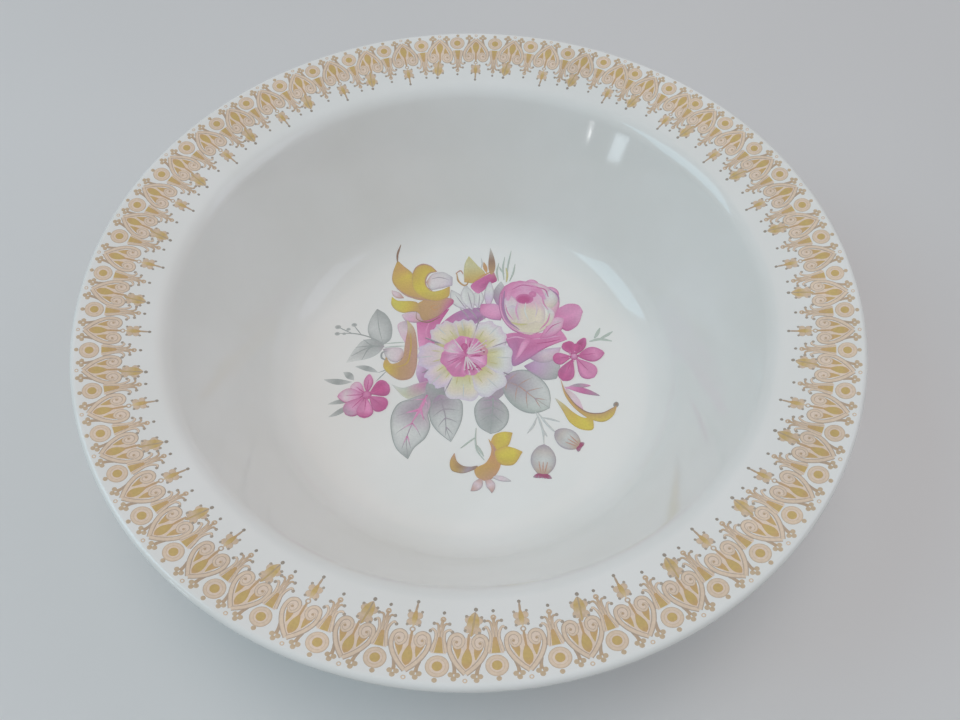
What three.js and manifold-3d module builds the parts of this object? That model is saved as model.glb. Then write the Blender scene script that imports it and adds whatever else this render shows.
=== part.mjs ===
// A round porcelain serving bowl: a thrown body with a broad sloping rim, a steep wall, a flat well
// and a foot ring; a glaze coat over all of it but the foot's resting face; a gold lace border laid
// on the rim as transfer strips; and one flower transfer on the floor of the well.
// Millimetres, +Z up, origin at the centre of the plane that the foot rests on.

import * as THREE from "three";
import { mergeVertices } from "three/addons/utils/BufferGeometryUtils.js";
import Module from "manifold-3d";

const wasm = await Module();
wasm.setup();

const DEGREE = Math.PI / 180;

// Driving dimensions, over the glaze
const RIM_DIAMETER = 229; // nine inches
const HEIGHT = 66; // resting plane to the top of the lip
const FLOOR_HEIGHT = 9; // resting plane to the floor of the well
const MOUTH_RADIUS = 91; // where the sloping rim turns down into the wall

// Slopes, measured from level
const RIM_SLOPE = 18 * DEGREE;
const UNDER_RIM_SLOPE = 17 * DEGREE;
const WALL_SLOPE = 64 * DEGREE;
const BELLY_SLOPE = 25 * DEGREE;

// The clay under the glaze
const WALL_THICKNESS = 4.2;
const RECESS_HEIGHT = 3.9; // underside of the floor above the resting plane
const FOOT_OUTER_RADIUS = 62;
const FOOT_INNER_RADIUS = 57.8;
const FOOT_OUTER_HEIGHT = 7; // where the foot's outer face meets the belly
const FOOT_DRAFT = 0.13; // how far a foot face leans for each millimetre of its height
const LIP_RADIUS = 1.2;
const SHOULDER_RADIUS = 8;
const UNDER_SHOULDER_RADIUS = 5;
const FLOOR_CORNER_RADIUS = 18;
const BELLY_CORNER_RADIUS = 18;
const FOOT_CORNER_RADIUS = 1.5;
const FOOT_EDGE_RADIUS = 0.9;

// Layers on the clay: each keeps a hair of clearance from what is under it
const CLEARANCE = 0.05;
const GLAZE_THICKNESS = 0.25;
const TRANSFER_THICKNESS = 0.15;
const GLAZE_BUILD = CLEARANCE + GLAZE_THICKNESS;
const TRANSFER_BASE = GLAZE_BUILD + CLEARANCE;
const GLAZE_EDGE_HEIGHT = 1.6; // the glaze stops this far above the resting plane

// The gold lace border
const LACE_OUTER_RADIUS = 112.4;
const LACE_INNER_RADIUS = 93.6;
const LACE_FINIALS = 100; // points along the inner edge, all round
const LACE_NOTCH_RADIUS = 2.2;
const STRIP_GAP = 0.3;
const STRIPS = [
  { name: "gold_lace_strip_1", from: 72, to: 244 },
  { name: "gold_lace_strip_2", from: 244, to: 403 },
  { name: "gold_lace_closing_strip", from: 43, to: 72 },
];

const TURN_STEPS = 60; // flats round the bowl
const CHORD_ERROR = 0.2; // how far a rounded corner's flats may stand off its true arc

const clay = { color: 0xf1ece0, roughness: 0.75, metalness: 0 };
const glaze = { color: 0xf4f3ee, roughness: 0.12, metalness: 0 };
const gold = { color: 0xcfae6c, roughness: 0.35, metalness: 0.6 };
const enamel = { color: 0xd183b4, roughness: 0.3, metalness: 0 };

/** The way a line at this slope points. */
function heading(angle) {
  return new THREE.Vector2(Math.cos(angle), Math.sin(angle));
}

/** The way a direction points once it is turned a quarter turn to its right. */
function rightOf(direction) {
  return new THREE.Vector2(direction.y, -direction.x);
}

/** Where the straight line through a along u meets the one through b along v. */
function crossing(a, u, b, v) {
  const along = b.clone().sub(a).cross(v) / u.cross(v);
  return a.clone().addScaledVector(u, along);
}

/** The points of one rounded corner between two straight edges; a turn to the left swells outwards. */
function cornerPoints(before, after, radius, grow) {
  const corner = crossing(before.start, before.along, after.start, after.along);
  const turn = Math.atan2(before.along.cross(after.along), before.along.dot(after.along));
  if (radius === 0) return [corner];
  const size = radius + Math.sign(turn) * grow;
  const start = corner.clone().addScaledVector(before.along, -size * Math.tan(Math.abs(turn) / 2));
  const toCentre = rightOf(before.along).multiplyScalar(-Math.sign(turn) * size);
  const centre = start.clone().add(toCentre);
  const widestStep = 2 * Math.acos(1 - Math.min(CHORD_ERROR / size, 1));
  const steps = Math.max(1, Math.ceil(Math.abs(turn) / widestStep));
  return Array.from({ length: steps + 1 }, (_, i) =>
    start.clone().rotateAround(centre, (turn * i) / steps),
  );
}

/**
 * A section line (radius, height) through the corners, each rounded to its own radius, after the
 * whole line has moved outwards by grow. Outwards is to the right of the way the line runs.
 */
function sectionLine(corners, grow) {
  const edges = corners.slice(1).map((to, i) => {
    const along = to.at.clone().sub(corners[i].at).normalize();
    const shift = rightOf(along).multiplyScalar(grow);
    return { start: corners[i].at.clone().add(shift), end: to.at.clone().add(shift), along };
  });
  const rounded = edges.slice(1).flatMap((edge, i) =>
    cornerPoints(edges[i], edge, corners[i + 1].round ?? 0, grow),
  );
  const points = [edges[0].start, ...rounded, edges.at(-1).end];
  return points.filter((point, i) => i === 0 || point.distanceTo(points[i - 1]) > 1e-3);
}

/** A solid of revolution about Z from a section that starts and ends on the axis or closes up. */
function turned(section) {
  return new THREE.LatheGeometry(section, TURN_STEPS).rotateX(Math.PI / 2);
}

/** A three.js geometry as a manifold-3d solid, for cutting and joining. */
function solid(geometry) {
  const bare = geometry.clone().deleteAttribute("normal").deleteAttribute("uv");
  const merged = mergeVertices(bare, 1e-4);
  return new wasm.Manifold(
    new wasm.Mesh({
      numProp: 3,
      vertProperties: merged.attributes.position.array,
      triVerts: new Uint32Array(merged.index.array),
    }),
  );
}

/** A manifold-3d solid as a three.js geometry. */
function geometryOf(body) {
  const mesh = body.getMesh();
  const geometry = new THREE.BufferGeometry();
  geometry.setAttribute("position", new THREE.BufferAttribute(mesh.vertProperties, 3));
  geometry.setIndex(new THREE.BufferAttribute(mesh.triVerts, 1));
  geometry.computeVertexNormals();
  return geometry;
}

/** The clay body's section corners, from the underside's centre round the foot and lip to the floor's centre. */
function bodyCorners() {
  const at = (radius, height) => new THREE.Vector2(radius, height);
  const level = heading(0);
  const upright = heading(90 * DEGREE);

  const rimEdge = at(RIM_DIAMETER / 2 - GLAZE_BUILD, 0);
  const lipCentre = at(rimEdge.x - LIP_RADIUS, HEIGHT - GLAZE_BUILD - LIP_RADIUS);
  const rimTop = lipCentre.clone().addScaledVector(rightOf(heading(RIM_SLOPE)), -LIP_RADIUS);
  const rimUnder = lipCentre.clone().addScaledVector(rightOf(heading(UNDER_RIM_SLOPE)), LIP_RADIUS);

  const shoulder = crossing(rimTop, heading(RIM_SLOPE), at(MOUTH_RADIUS, 0), upright);
  const outerWall = shoulder.clone().addScaledVector(rightOf(heading(WALL_SLOPE)), WALL_THICKNESS);
  const floor = at(0, FLOOR_HEIGHT - GLAZE_BUILD);
  const footTop = at(FOOT_OUTER_RADIUS + FOOT_DRAFT * FOOT_OUTER_HEIGHT, FOOT_OUTER_HEIGHT);

  return [
    { at: at(0, RECESS_HEIGHT) },
    { at: at(FOOT_INNER_RADIUS - FOOT_DRAFT * RECESS_HEIGHT, RECESS_HEIGHT), round: FOOT_CORNER_RADIUS },
    { at: at(FOOT_INNER_RADIUS, 0), round: FOOT_EDGE_RADIUS },
    { at: at(FOOT_OUTER_RADIUS, 0), round: FOOT_EDGE_RADIUS },
    { at: footTop, round: FOOT_CORNER_RADIUS },
    {
      at: crossing(footTop, heading(BELLY_SLOPE), outerWall, heading(WALL_SLOPE)),
      round: BELLY_CORNER_RADIUS,
    },
    {
      at: crossing(rimUnder, heading(UNDER_RIM_SLOPE), outerWall, heading(WALL_SLOPE)),
      round: UNDER_SHOULDER_RADIUS,
    },
    { at: crossing(rimUnder, heading(UNDER_RIM_SLOPE), rimEdge, upright), round: LIP_RADIUS },
    { at: crossing(rimTop, heading(RIM_SLOPE), rimEdge, upright), round: LIP_RADIUS },
    { at: shoulder, round: SHOULDER_RADIUS },
    { at: crossing(shoulder, heading(WALL_SLOPE), floor, level), round: FLOOR_CORNER_RADIUS },
    { at: floor },
  ];
}

/** The clay body, from the recess under the floor round to the well. */
function body(corners) {
  return turned(sectionLine(corners, 0));
}

/** The glaze coat: from just above the foot's resting face, up the outside, over the lip and across the well. */
function glazeCoat(corners) {
  const footFace = { at: new THREE.Vector2(FOOT_OUTER_RADIUS + FOOT_DRAFT * GLAZE_EDGE_HEIGHT, GLAZE_EDGE_HEIGHT) };
  const covered = [footFace, ...corners.slice(4)];
  return turned([...sectionLine(covered, CLEARANCE).reverse(), ...sectionLine(covered, GLAZE_BUILD)]);
}

/** The glaze inside the foot ring, under the floor. */
function recessGlaze(corners) {
  const footFace = { at: new THREE.Vector2(FOOT_INNER_RADIUS - FOOT_DRAFT * GLAZE_EDGE_HEIGHT, GLAZE_EDGE_HEIGHT) };
  const covered = [...corners.slice(0, 2), footFace];
  return turned([...sectionLine(covered, GLAZE_BUILD), ...sectionLine(covered, CLEARANCE).reverse()]);
}

/** The whole border before it is cut into strips: a thin cone lying on the sloping rim. */
function laceRing(corners) {
  const lip = corners[8].at;
  const along = lip.clone().sub(corners[9].at).normalize();
  const onRim = (radius, lift) => {
    const point = lip.clone().addScaledVector(along, (radius - lip.x) / along.x);
    return point.addScaledVector(rightOf(along), -lift);
  };
  const top = TRANSFER_BASE + TRANSFER_THICKNESS;
  const inner = onRim(LACE_INNER_RADIUS, TRANSFER_BASE);
  const section = [
    inner,
    onRim(LACE_OUTER_RADIUS, TRANSFER_BASE),
    onRim(LACE_OUTER_RADIUS, top),
    onRim(LACE_INNER_RADIUS, top),
    inner.clone(),
  ];
  return solid(turned(section));
}

/** A tall wedge from one angle to another, to cut a strip out of the border. */
function wedge(from, to) {
  const reach = RIM_DIAMETER;
  const trim = STRIP_GAP / 2 / LACE_INNER_RADIUS;
  const outline = new THREE.Shape().absarc(0, 0, reach, from * DEGREE + trim, to * DEGREE - trim, false);
  outline.lineTo(0, 0);
  return solid(new THREE.ExtrudeGeometry(outline, { depth: 2 * HEIGHT, bevelEnabled: false, curveSegments: 24 }));
}

/** The gaps between the points of the lace along the border's inner edge. */
function laceNotches() {
  const pitch = (2 * Math.PI) / LACE_FINIALS;
  const notches = Array.from({ length: LACE_FINIALS }, (_, i) => {
    const angle = (i + 0.5) * pitch;
    const notch = new THREE.CylinderGeometry(LACE_NOTCH_RADIUS, LACE_NOTCH_RADIUS, 2 * HEIGHT, 6);
    notch.rotateX(Math.PI / 2).rotateZ(angle);
    notch.translate(LACE_INNER_RADIUS * Math.cos(angle), LACE_INNER_RADIUS * Math.sin(angle), HEIGHT);
    return solid(notch);
  });
  return wasm.Manifold.union(notches);
}

/** A petalled round outline: a circle whose radius dips between its lobes. */
function bloomOutline({ x, y, radius, lobes }) {
  const DIP = 0.16;
  const POINTS_PER_LOBE = 4;
  const count = lobes * POINTS_PER_LOBE;
  const points = Array.from({ length: count }, (_, i) => {
    const angle = (2 * Math.PI * i) / count;
    const reach = radius * (1 - DIP * (0.5 - 0.5 * Math.cos(lobes * angle)));
    return new THREE.Vector2(x + reach * Math.cos(angle), y + reach * Math.sin(angle));
  });
  return new THREE.Shape(points);
}

/** A pointed oval from its base to its tip, for a leaf, a scroll's blade or a stem. */
function leafOutline({ from, to, width }) {
  const base = new THREE.Vector2(...from);
  const tip = new THREE.Vector2(...to);
  const side = rightOf(tip.clone().sub(base).normalize()).multiplyScalar(width);
  const middle = base.clone().lerp(tip, 0.45);
  const outline = new THREE.Shape().moveTo(base.x, base.y);
  outline.quadraticCurveTo(middle.x + side.x, middle.y + side.y, tip.x, tip.y);
  outline.quadraticCurveTo(middle.x - side.x, middle.y - side.y, base.x, base.y);
  return outline;
}

// The flower transfer's blooms and blades, in the plane of the floor; +Y is the far side
const BLOOMS = [
  { x: -1.5, y: 6, radius: 18, lobes: 9 }, // cream flower in the middle
  { x: 22, y: 28, radius: 13.5, lobes: 6 }, // full rose
  { x: 24, y: 14, radius: 13, lobes: 5 }, // open petals under the rose
  { x: 38.5, y: 6, radius: 9, lobes: 5 }, // small pink flower on the right
  { x: -38, y: -10, radius: 9, lobes: 5 }, // small pink flower on the left
  { x: 24.5, y: -35, radius: 5, lobes: 3 }, // rose hip
  { x: 34, y: -27, radius: 5, lobes: 3 }, // second rose hip
];
const BLADES = [
  { from: [-10, 12], to: [-31, 42], width: 12 }, // tall gold scroll
  { from: [-14, 2], to: [-29, 18], width: 9 }, // gold crescent
  { from: [4, 18], to: [4, 49], width: 10 }, // gold tips at the top
  { from: [-14, 4], to: [-45, 10], width: 8 }, // grey leaf, upper left
  { from: [-18, 4], to: [-36, 27], width: 7 }, // grey leaf standing up on the left
  { from: [-12, 0], to: [-34, -8], width: 6 }, // pale leaf
  { from: [-8, -4], to: [-22, -34], width: 11 }, // veined leaf
  { from: [-3, -6], to: [-6, -29], width: 9 }, // veined leaf
  { from: [4, -6], to: [8, -27], width: 9 }, // veined leaf
  { from: [6, -2], to: [30, -15], width: 11 }, // veined leaf
  { from: [2, -14], to: [6, -46], width: 10 }, // gold scroll at the bottom
  { from: [18, -7], to: [48, -18], width: 8 }, // gold crescent, lower right
  { from: [18, -8], to: [25, -34], width: 3 }, // hip's stem
  { from: [21, -13], to: [33, -27], width: 3 }, // second hip's stem
];

/** The flower transfer: its blooms and blades joined into one thin sheet on the floor. */
function flowerTransfer() {
  const outlines = [...BLOOMS.map(bloomOutline), ...BLADES.map(leafOutline)];
  const sheets = outlines.map((outline) =>
    solid(
      new THREE.ExtrudeGeometry(outline, {
        depth: TRANSFER_THICKNESS,
        bevelEnabled: false,
        curveSegments: 5,
      }),
    ),
  );
  return geometryOf(wasm.Manifold.union(sheets)).translate(0, 0, FLOOR_HEIGHT + CLEARANCE);
}

const bowl = new THREE.Group();

/** Adds one named sub-part to the bowl. */
function addPart(name, geometry, finish) {
  const mesh = new THREE.Mesh(geometry, new THREE.MeshStandardMaterial(finish));
  mesh.name = name;
  bowl.add(mesh);
}

const corners = bodyCorners();
addPart("porcelain_body", body(corners), clay);
addPart("glaze_coat", glazeCoat(corners), glaze);
addPart("foot_recess_glaze", recessGlaze(corners), glaze);

const lace = laceRing(corners).subtract(laceNotches());
for (const strip of STRIPS) {
  addPart(strip.name, geometryOf(lace.intersect(wedge(strip.from, strip.to))), gold);
}

addPart("flower_transfer", flowerTransfer(), enamel);

export default bowl;
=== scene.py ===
"""Looks of a round footed porcelain serving bowl: a clay body, its glaze, a gold lace border and a flower
spray.

Sizes in this file are millimetres, and a piece's mesh is put down in metres. +Z is up the bowl's axis and
+Y is its far side.
"""

from math import cos, pi, radians, sin, tan

import bmesh
import bpy
import numpy as np
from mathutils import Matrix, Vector


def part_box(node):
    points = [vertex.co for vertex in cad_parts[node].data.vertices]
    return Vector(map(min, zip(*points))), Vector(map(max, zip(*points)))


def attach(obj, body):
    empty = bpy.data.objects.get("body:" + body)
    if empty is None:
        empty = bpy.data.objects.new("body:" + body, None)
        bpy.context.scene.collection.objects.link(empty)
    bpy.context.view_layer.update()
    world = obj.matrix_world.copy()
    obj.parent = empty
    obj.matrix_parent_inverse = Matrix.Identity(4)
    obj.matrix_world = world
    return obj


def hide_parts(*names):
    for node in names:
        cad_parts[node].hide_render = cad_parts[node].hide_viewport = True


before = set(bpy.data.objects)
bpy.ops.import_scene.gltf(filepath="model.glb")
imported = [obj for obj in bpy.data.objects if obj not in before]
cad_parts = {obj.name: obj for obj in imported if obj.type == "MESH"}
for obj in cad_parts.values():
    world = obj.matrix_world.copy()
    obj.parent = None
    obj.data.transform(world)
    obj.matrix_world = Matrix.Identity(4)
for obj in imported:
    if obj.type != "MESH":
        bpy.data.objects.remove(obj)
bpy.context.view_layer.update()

MM = 0.001

# The bowl's section, over the glaze
RIM_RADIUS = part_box("glaze_coat")[1].x / MM
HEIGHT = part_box("glaze_coat")[1].z / MM
FLOOR_HEIGHT = 9.0
MOUTH_RADIUS = 91.0
RIM_SLOPE = radians(18)
UNDER_RIM_SLOPE = radians(17)
WALL_SLOPE = radians(64)
BELLY_SLOPE = radians(25)
WALL_THICKNESS = 4.2
RECESS_HEIGHT = 3.9
FOOT_OUTER_RADIUS = 62.0
FOOT_INNER_RADIUS = 57.8
FOOT_OUTER_HEIGHT = 7.0
FOOT_DRAFT = 0.13
LIP_RADIUS = 1.2
SHOULDER_RADIUS = 8.0
UNDER_SHOULDER_RADIUS = 5.0
FLOOR_CORNER_RADIUS = 18.0
BELLY_CORNER_RADIUS = 18.0
FOOT_CORNER_RADIUS = 1.5
FOOT_EDGE_RADIUS = 0.9
GLAZE_CLEARANCE = 0.05
GLAZE_BUILD = 0.30
GLAZE_EDGE_HEIGHT = 1.6

# How finely a turned piece is divided
TURN_STEPS = 320
ARC_STEP = radians(4)
STRAIGHT_STEP = 2.2
HIDDEN_STEP = 12.0
MERGE_DISTANCE = 1e-7


# ---------------------------------------------------------------- meshes


def grid_faces(rows, columns, wrap):
    """Quads between neighbouring points of a grid; with wrap the last row joins the first."""
    row = np.arange(rows if wrap else rows - 1)[:, None]
    column = np.arange(columns - 1)[None, :]
    following = (row + 1) % rows
    corners = [row * columns + column, following * columns + column]
    corners += [following * columns + column + 1, row * columns + column + 1]
    return np.stack(np.broadcast_arrays(*corners), axis=-1).reshape(-1, 4)


def make_piece(name, points, faces, material, colours=None):
    """A mesh object from millimetre points, its doubles merged so that poles and seams are closed."""
    mesh = bpy.data.meshes.new(name)
    mesh.from_pydata(points * MM, [], faces)
    if colours is not None:
        paint = mesh.color_attributes.new("paint", "FLOAT_COLOR", "POINT")
        opaque = np.concatenate([colours, np.ones((len(colours), 1))], axis=1)
        paint.data.foreach_set("color", opaque.astype(np.float32).ravel())
    work = bmesh.new()
    work.from_mesh(mesh)
    bmesh.ops.remove_doubles(work, verts=work.verts, dist=MERGE_DISTANCE)
    work.to_mesh(mesh)
    work.free()
    mesh.shade_smooth()
    mesh.materials.append(material)
    piece = bpy.data.objects.new(name, mesh)
    bpy.context.scene.collection.objects.link(piece)
    return piece


def turned_piece(name, section, material, closed):
    """Every section point (radius, height) goes round the axis: x = r cos a, y = r sin a, z = height."""
    if closed:
        section = np.vstack([section, section[:1]])
    angle = np.linspace(0, 2 * pi, TURN_STEPS, endpoint=False)[:, None]
    radius, height = section[:, 0][None, :], section[:, 1][None, :]
    points = np.stack([radius * np.cos(angle), radius * np.sin(angle), height + 0 * angle], axis=-1)
    faces = grid_faces(TURN_STEPS, len(section), wrap=True)
    return make_piece(name, points.reshape(-1, 3), faces, material)


# ---------------------------------------------------------------- the bowl's section


def heading(angle):
    """The way a line at this slope points."""
    return np.array([cos(angle), sin(angle)])


def right_of(direction):
    """A direction turned a quarter turn to its right."""
    return np.array([direction[1], -direction[0]])


def cross(a, b):
    """The flat cross product of two directions."""
    return a[0] * b[1] - a[1] * b[0]


def crossing(a, u, b, v):
    """Where the line through a along u meets the line through b along v."""
    return a + u * cross(b - a, v) / cross(u, v)


def section_corners():
    """The clay's section as (corner, rounding), from under the floor round the foot and lip to the floor's
    centre."""
    level, upright = heading(0), heading(pi / 2)
    rim_top_way, rim_under_way = heading(RIM_SLOPE), heading(UNDER_RIM_SLOPE)
    wall_way, belly_way = heading(WALL_SLOPE), heading(BELLY_SLOPE)

    rim_edge = np.array([RIM_RADIUS - GLAZE_BUILD, 0])
    lip_centre = np.array([rim_edge[0] - LIP_RADIUS, HEIGHT - GLAZE_BUILD - LIP_RADIUS])
    rim_top = lip_centre - LIP_RADIUS * right_of(rim_top_way)
    rim_under = lip_centre + LIP_RADIUS * right_of(rim_under_way)
    shoulder = crossing(rim_top, rim_top_way, np.array([MOUTH_RADIUS, 0]), upright)
    outer_wall = shoulder + WALL_THICKNESS * right_of(wall_way)
    floor = np.array([0, FLOOR_HEIGHT - GLAZE_BUILD])
    foot_top = np.array([FOOT_OUTER_RADIUS + FOOT_DRAFT * FOOT_OUTER_HEIGHT, FOOT_OUTER_HEIGHT])
    recess_edge = np.array([FOOT_INNER_RADIUS - FOOT_DRAFT * RECESS_HEIGHT, RECESS_HEIGHT])

    return [
        (np.array([0, RECESS_HEIGHT]), 0),
        (recess_edge, FOOT_CORNER_RADIUS),
        (np.array([FOOT_INNER_RADIUS, 0]), FOOT_EDGE_RADIUS),
        (np.array([FOOT_OUTER_RADIUS, 0]), FOOT_EDGE_RADIUS),
        (foot_top, FOOT_CORNER_RADIUS),
        (crossing(foot_top, belly_way, outer_wall, wall_way), BELLY_CORNER_RADIUS),
        (crossing(rim_under, rim_under_way, outer_wall, wall_way), UNDER_SHOULDER_RADIUS),
        (crossing(rim_under, rim_under_way, rim_edge, upright), LIP_RADIUS),
        (crossing(rim_top, rim_top_way, rim_edge, upright), LIP_RADIUS),
        (shoulder, SHOULDER_RADIUS),
        (crossing(shoulder, wall_way, floor, level), FLOOR_CORNER_RADIUS),
        (floor, 0),
    ]


def corner_arc(before, corner, after, radius, grow):
    """The arc that rounds a corner of a line moved outwards by grow; a left turn swells and a right turn
    shrinks."""
    turn = np.arctan2(cross(before, after), before @ after)
    if radius == 0:
        return corner[None, :]
    size = radius + np.sign(turn) * grow
    start = corner - before * size * tan(abs(turn) / 2)
    spoke = right_of(before) * np.sign(turn) * size
    centre = start - spoke
    steps = int(np.ceil(abs(turn) / ARC_STEP)) + 1
    angle = np.linspace(0, turn, steps)[:, None]
    turned_spoke = spoke * np.cos(angle) + np.array([-spoke[1], spoke[0]]) * np.sin(angle)
    return centre + turned_spoke


def section_line(corners, grow, step=STRAIGHT_STEP):
    """The rounded line through the corners, moved outwards (to its right) by grow, its straight runs
    divided."""
    at = np.array([corner for corner, _ in corners])
    along = np.diff(at, axis=0)
    along /= np.linalg.norm(along, axis=1)[:, None]
    start = at[:-1] + grow * np.array([right_of(way) for way in along])
    stretches = [start[:1]]
    for i in range(1, len(along)):
        corner = crossing(start[i - 1], along[i - 1], start[i], along[i])
        stretches.append(corner_arc(along[i - 1], corner, along[i], corners[i][1], grow))
    end = at[-1] + grow * right_of(along[-1])
    stretches.append(end[None, :])
    line = [stretches[0]]
    for stretch in stretches[1:]:
        gap = np.linalg.norm(stretch[0] - line[-1][-1])
        share = np.linspace(0, 1, max(1, int(gap / step)) + 1)[1:, None]
        line.append(line[-1][-1] + (stretch[0] - line[-1][-1]) * share)
        line.append(stretch[1:])
    return np.vstack(line)


# ---------------------------------------------------------------- materials


def linear(colour):
    """A colour given as 0 to 255 on the usual curve, in linear light."""
    share = np.asarray(colour, float) / 255
    return np.where(share <= 0.04045, share / 12.92, ((share + 0.055) / 1.055) ** 2.4)


def new_material(name):
    """A node material with its Principled shader, its nodes and its links at hand."""
    material = bpy.data.materials.new(name)
    material.use_nodes = True
    nodes, links = material.node_tree.nodes, material.node_tree.links
    return material, nodes, links, nodes["Principled BSDF"]


def object_noise(nodes, links, scale, detail):
    """Noise on Object coordinates, so that it stays put on the piece."""
    place = nodes.new("ShaderNodeTexCoord")
    noise = nodes.new("ShaderNodeTexNoise")
    noise.inputs["Scale"].default_value = scale
    noise.inputs["Detail"].default_value = detail
    links.new(place.outputs["Object"], noise.inputs["Vector"])
    return noise.outputs["Fac"]


def ramp(nodes, links, source, stops):
    """A colour ramp over a source: stops are (position, 0 to 255 colour)."""
    node = nodes.new("ShaderNodeValToRGB")
    elements = node.color_ramp.elements
    while len(elements) < len(stops):
        elements.new(0.5)
    for element, (position, colour) in zip(elements, stops):
        element.position = position
        element.color = (*linear(colour), 1)
    links.new(source, node.inputs["Fac"])
    return node.outputs["Color"]


def spread(nodes, links, source, low, high):
    """The source's 0 to 1 run stretched to run from low to high."""
    node = nodes.new("ShaderNodeMapRange")
    node.inputs["To Min"].default_value = low
    node.inputs["To Max"].default_value = high
    links.new(source, node.inputs["Value"])
    return node.outputs["Result"]


def bump(nodes, links, source, shader, distance):
    """Fine relief from a source, as deep as distance in metres."""
    node = nodes.new("ShaderNodeBump")
    node.inputs["Strength"].default_value = 1
    node.inputs["Distance"].default_value = distance
    links.new(source, node.inputs["Height"])
    links.new(node.outputs["Normal"], shader.inputs["Normal"])


GLAZE_PALE = (243, 243, 239)
GLAZE_DEEP = (239, 239, 234)


def glaze_material():
    """Clear glaze over white porcelain: glossy, very slightly clouded, with a faint long ripple."""
    material, nodes, links, shader = new_material("glaze")
    clouds = object_noise(nodes, links, 28, 3)
    tint = ramp(nodes, links, clouds, [(0.35, GLAZE_DEEP), (0.65, GLAZE_PALE)])
    links.new(tint, shader.inputs["Base Color"])
    wear = object_noise(nodes, links, 90, 4)
    links.new(spread(nodes, links, wear, 0.055, 0.085), shader.inputs["Roughness"])
    shader.inputs["IOR"].default_value = 1.52
    bump(nodes, links, object_noise(nodes, links, 60, 1), shader, 0.00006)
    return material


def clay_material():
    """Bare fired porcelain: chalky, fine-grained and a little warmer than the glaze."""
    material, nodes, links, shader = new_material("clay")
    grain = object_noise(nodes, links, 900, 6)
    tint = ramp(nodes, links, grain, [(0.3, (214, 207, 194)), (0.7, (232, 227, 217))])
    links.new(tint, shader.inputs["Base Color"])
    links.new(spread(nodes, links, grain, 0.62, 0.82), shader.inputs["Roughness"])
    bump(nodes, links, grain, shader, 0.00004)
    return material


# ---------------------------------------------------------------- clay and glaze


def porcelain(corners, clay, glaze):
    """The clay body, the glaze coat over it and the glaze inside its foot ring, each turned from its own
    section."""
    foot_face = np.array([FOOT_OUTER_RADIUS + FOOT_DRAFT * GLAZE_EDGE_HEIGHT, GLAZE_EDGE_HEIGHT])
    covered = [(foot_face, 0)] + corners[4:]
    outside = section_line(covered, GLAZE_BUILD)
    inside = section_line(covered, GLAZE_CLEARANCE, step=HIDDEN_STEP)[::-1]

    ring_face = np.array([FOOT_INNER_RADIUS - FOOT_DRAFT * GLAZE_EDGE_HEIGHT, GLAZE_EDGE_HEIGHT])
    under = corners[:2] + [(ring_face, 0)]
    under_outside = section_line(under, GLAZE_BUILD)
    under_inside = section_line(under, GLAZE_CLEARANCE, step=HIDDEN_STEP)[::-1]

    body = turned_piece("clay_body", section_line(corners, 0), clay, closed=False)
    coat = turned_piece("glaze_surface", np.vstack([outside, inside]), glaze, closed=True)
    recess = turned_piece("recess_glaze", np.vstack([under_outside, under_inside]), glaze, closed=True)
    for piece, node, slot in [
        (body, "porcelain_body", "clay"),
        (coat, "glaze_coat", "glaze"),
        (recess, "foot_recess_glaze", "glaze"),
    ]:
        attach(piece, "root")
        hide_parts(node)
    return outside


# ---------------------------------------------------------------- prints

# How far a print's first patch stands above the glaze, what each later patch adds in the lace and in the
# spray, and how far a patch's edge dips below the glaze's surface
PRINT_RISE = 0.04
LACE_LAYER = 0.0008
SPRAY_LAYER = 0.0015
SUNK = -0.02

BARE_GLAZE_SEEN = 203
BAND_STEP = 0.35
PETAL_STRANDS = 7
FAN_STRANDS = 9
LACE_SEED = 7
SPRAY_SEED = 11


def seen(colour):
    """The pigment, in linear light, that looks like this 0 to 255 colour where bare glaze looks
    BARE_GLAZE_SEEN."""
    return linear(colour) / linear(BARE_GLAZE_SEEN) * linear(GLAZE_PALE)


def smooth(points, count):
    """A smooth curve through the points: cubic stretches, each meeting the next in place and direction."""
    points = np.asarray(points, float)
    knot = np.concatenate([[0], np.cumsum(np.linalg.norm(np.diff(points, axis=0), axis=1))])
    way = np.gradient(points, knot, axis=0)
    at = np.linspace(0, knot[-1], count)
    i = np.clip(np.searchsorted(knot, at, side="right") - 1, 0, len(points) - 2)
    span = (knot[i + 1] - knot[i])[:, None]
    t = (at - knot[i])[:, None] / span
    start = (2 * t**3 - 3 * t**2 + 1) * points[i] + (t**3 - 2 * t**2 + t) * span * way[i]
    end = (3 * t**2 - 2 * t**3) * points[i + 1] + (t**3 - t**2) * span * way[i + 1]
    return start + end


def blended(values, count):
    """Values (numbers or colours) spread evenly over count places, blended between neighbours."""
    values = np.asarray(values, float)
    at = np.linspace(0, len(values) - 1, count)
    low = np.minimum(at.astype(int), max(len(values) - 2, 0))
    high = np.minimum(low + 1, len(values) - 1)
    share = (at - low).reshape([-1] + [1] * (values.ndim - 1))
    return values[low] * (1 - share) + values[high] * share


def mix(a, b, share):
    """Between a and b: a where share is 0 and b where it is 1."""
    share = np.clip(np.asarray(share, float), 0, 1)[..., None]
    return a * (1 - share) + b * share


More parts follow.
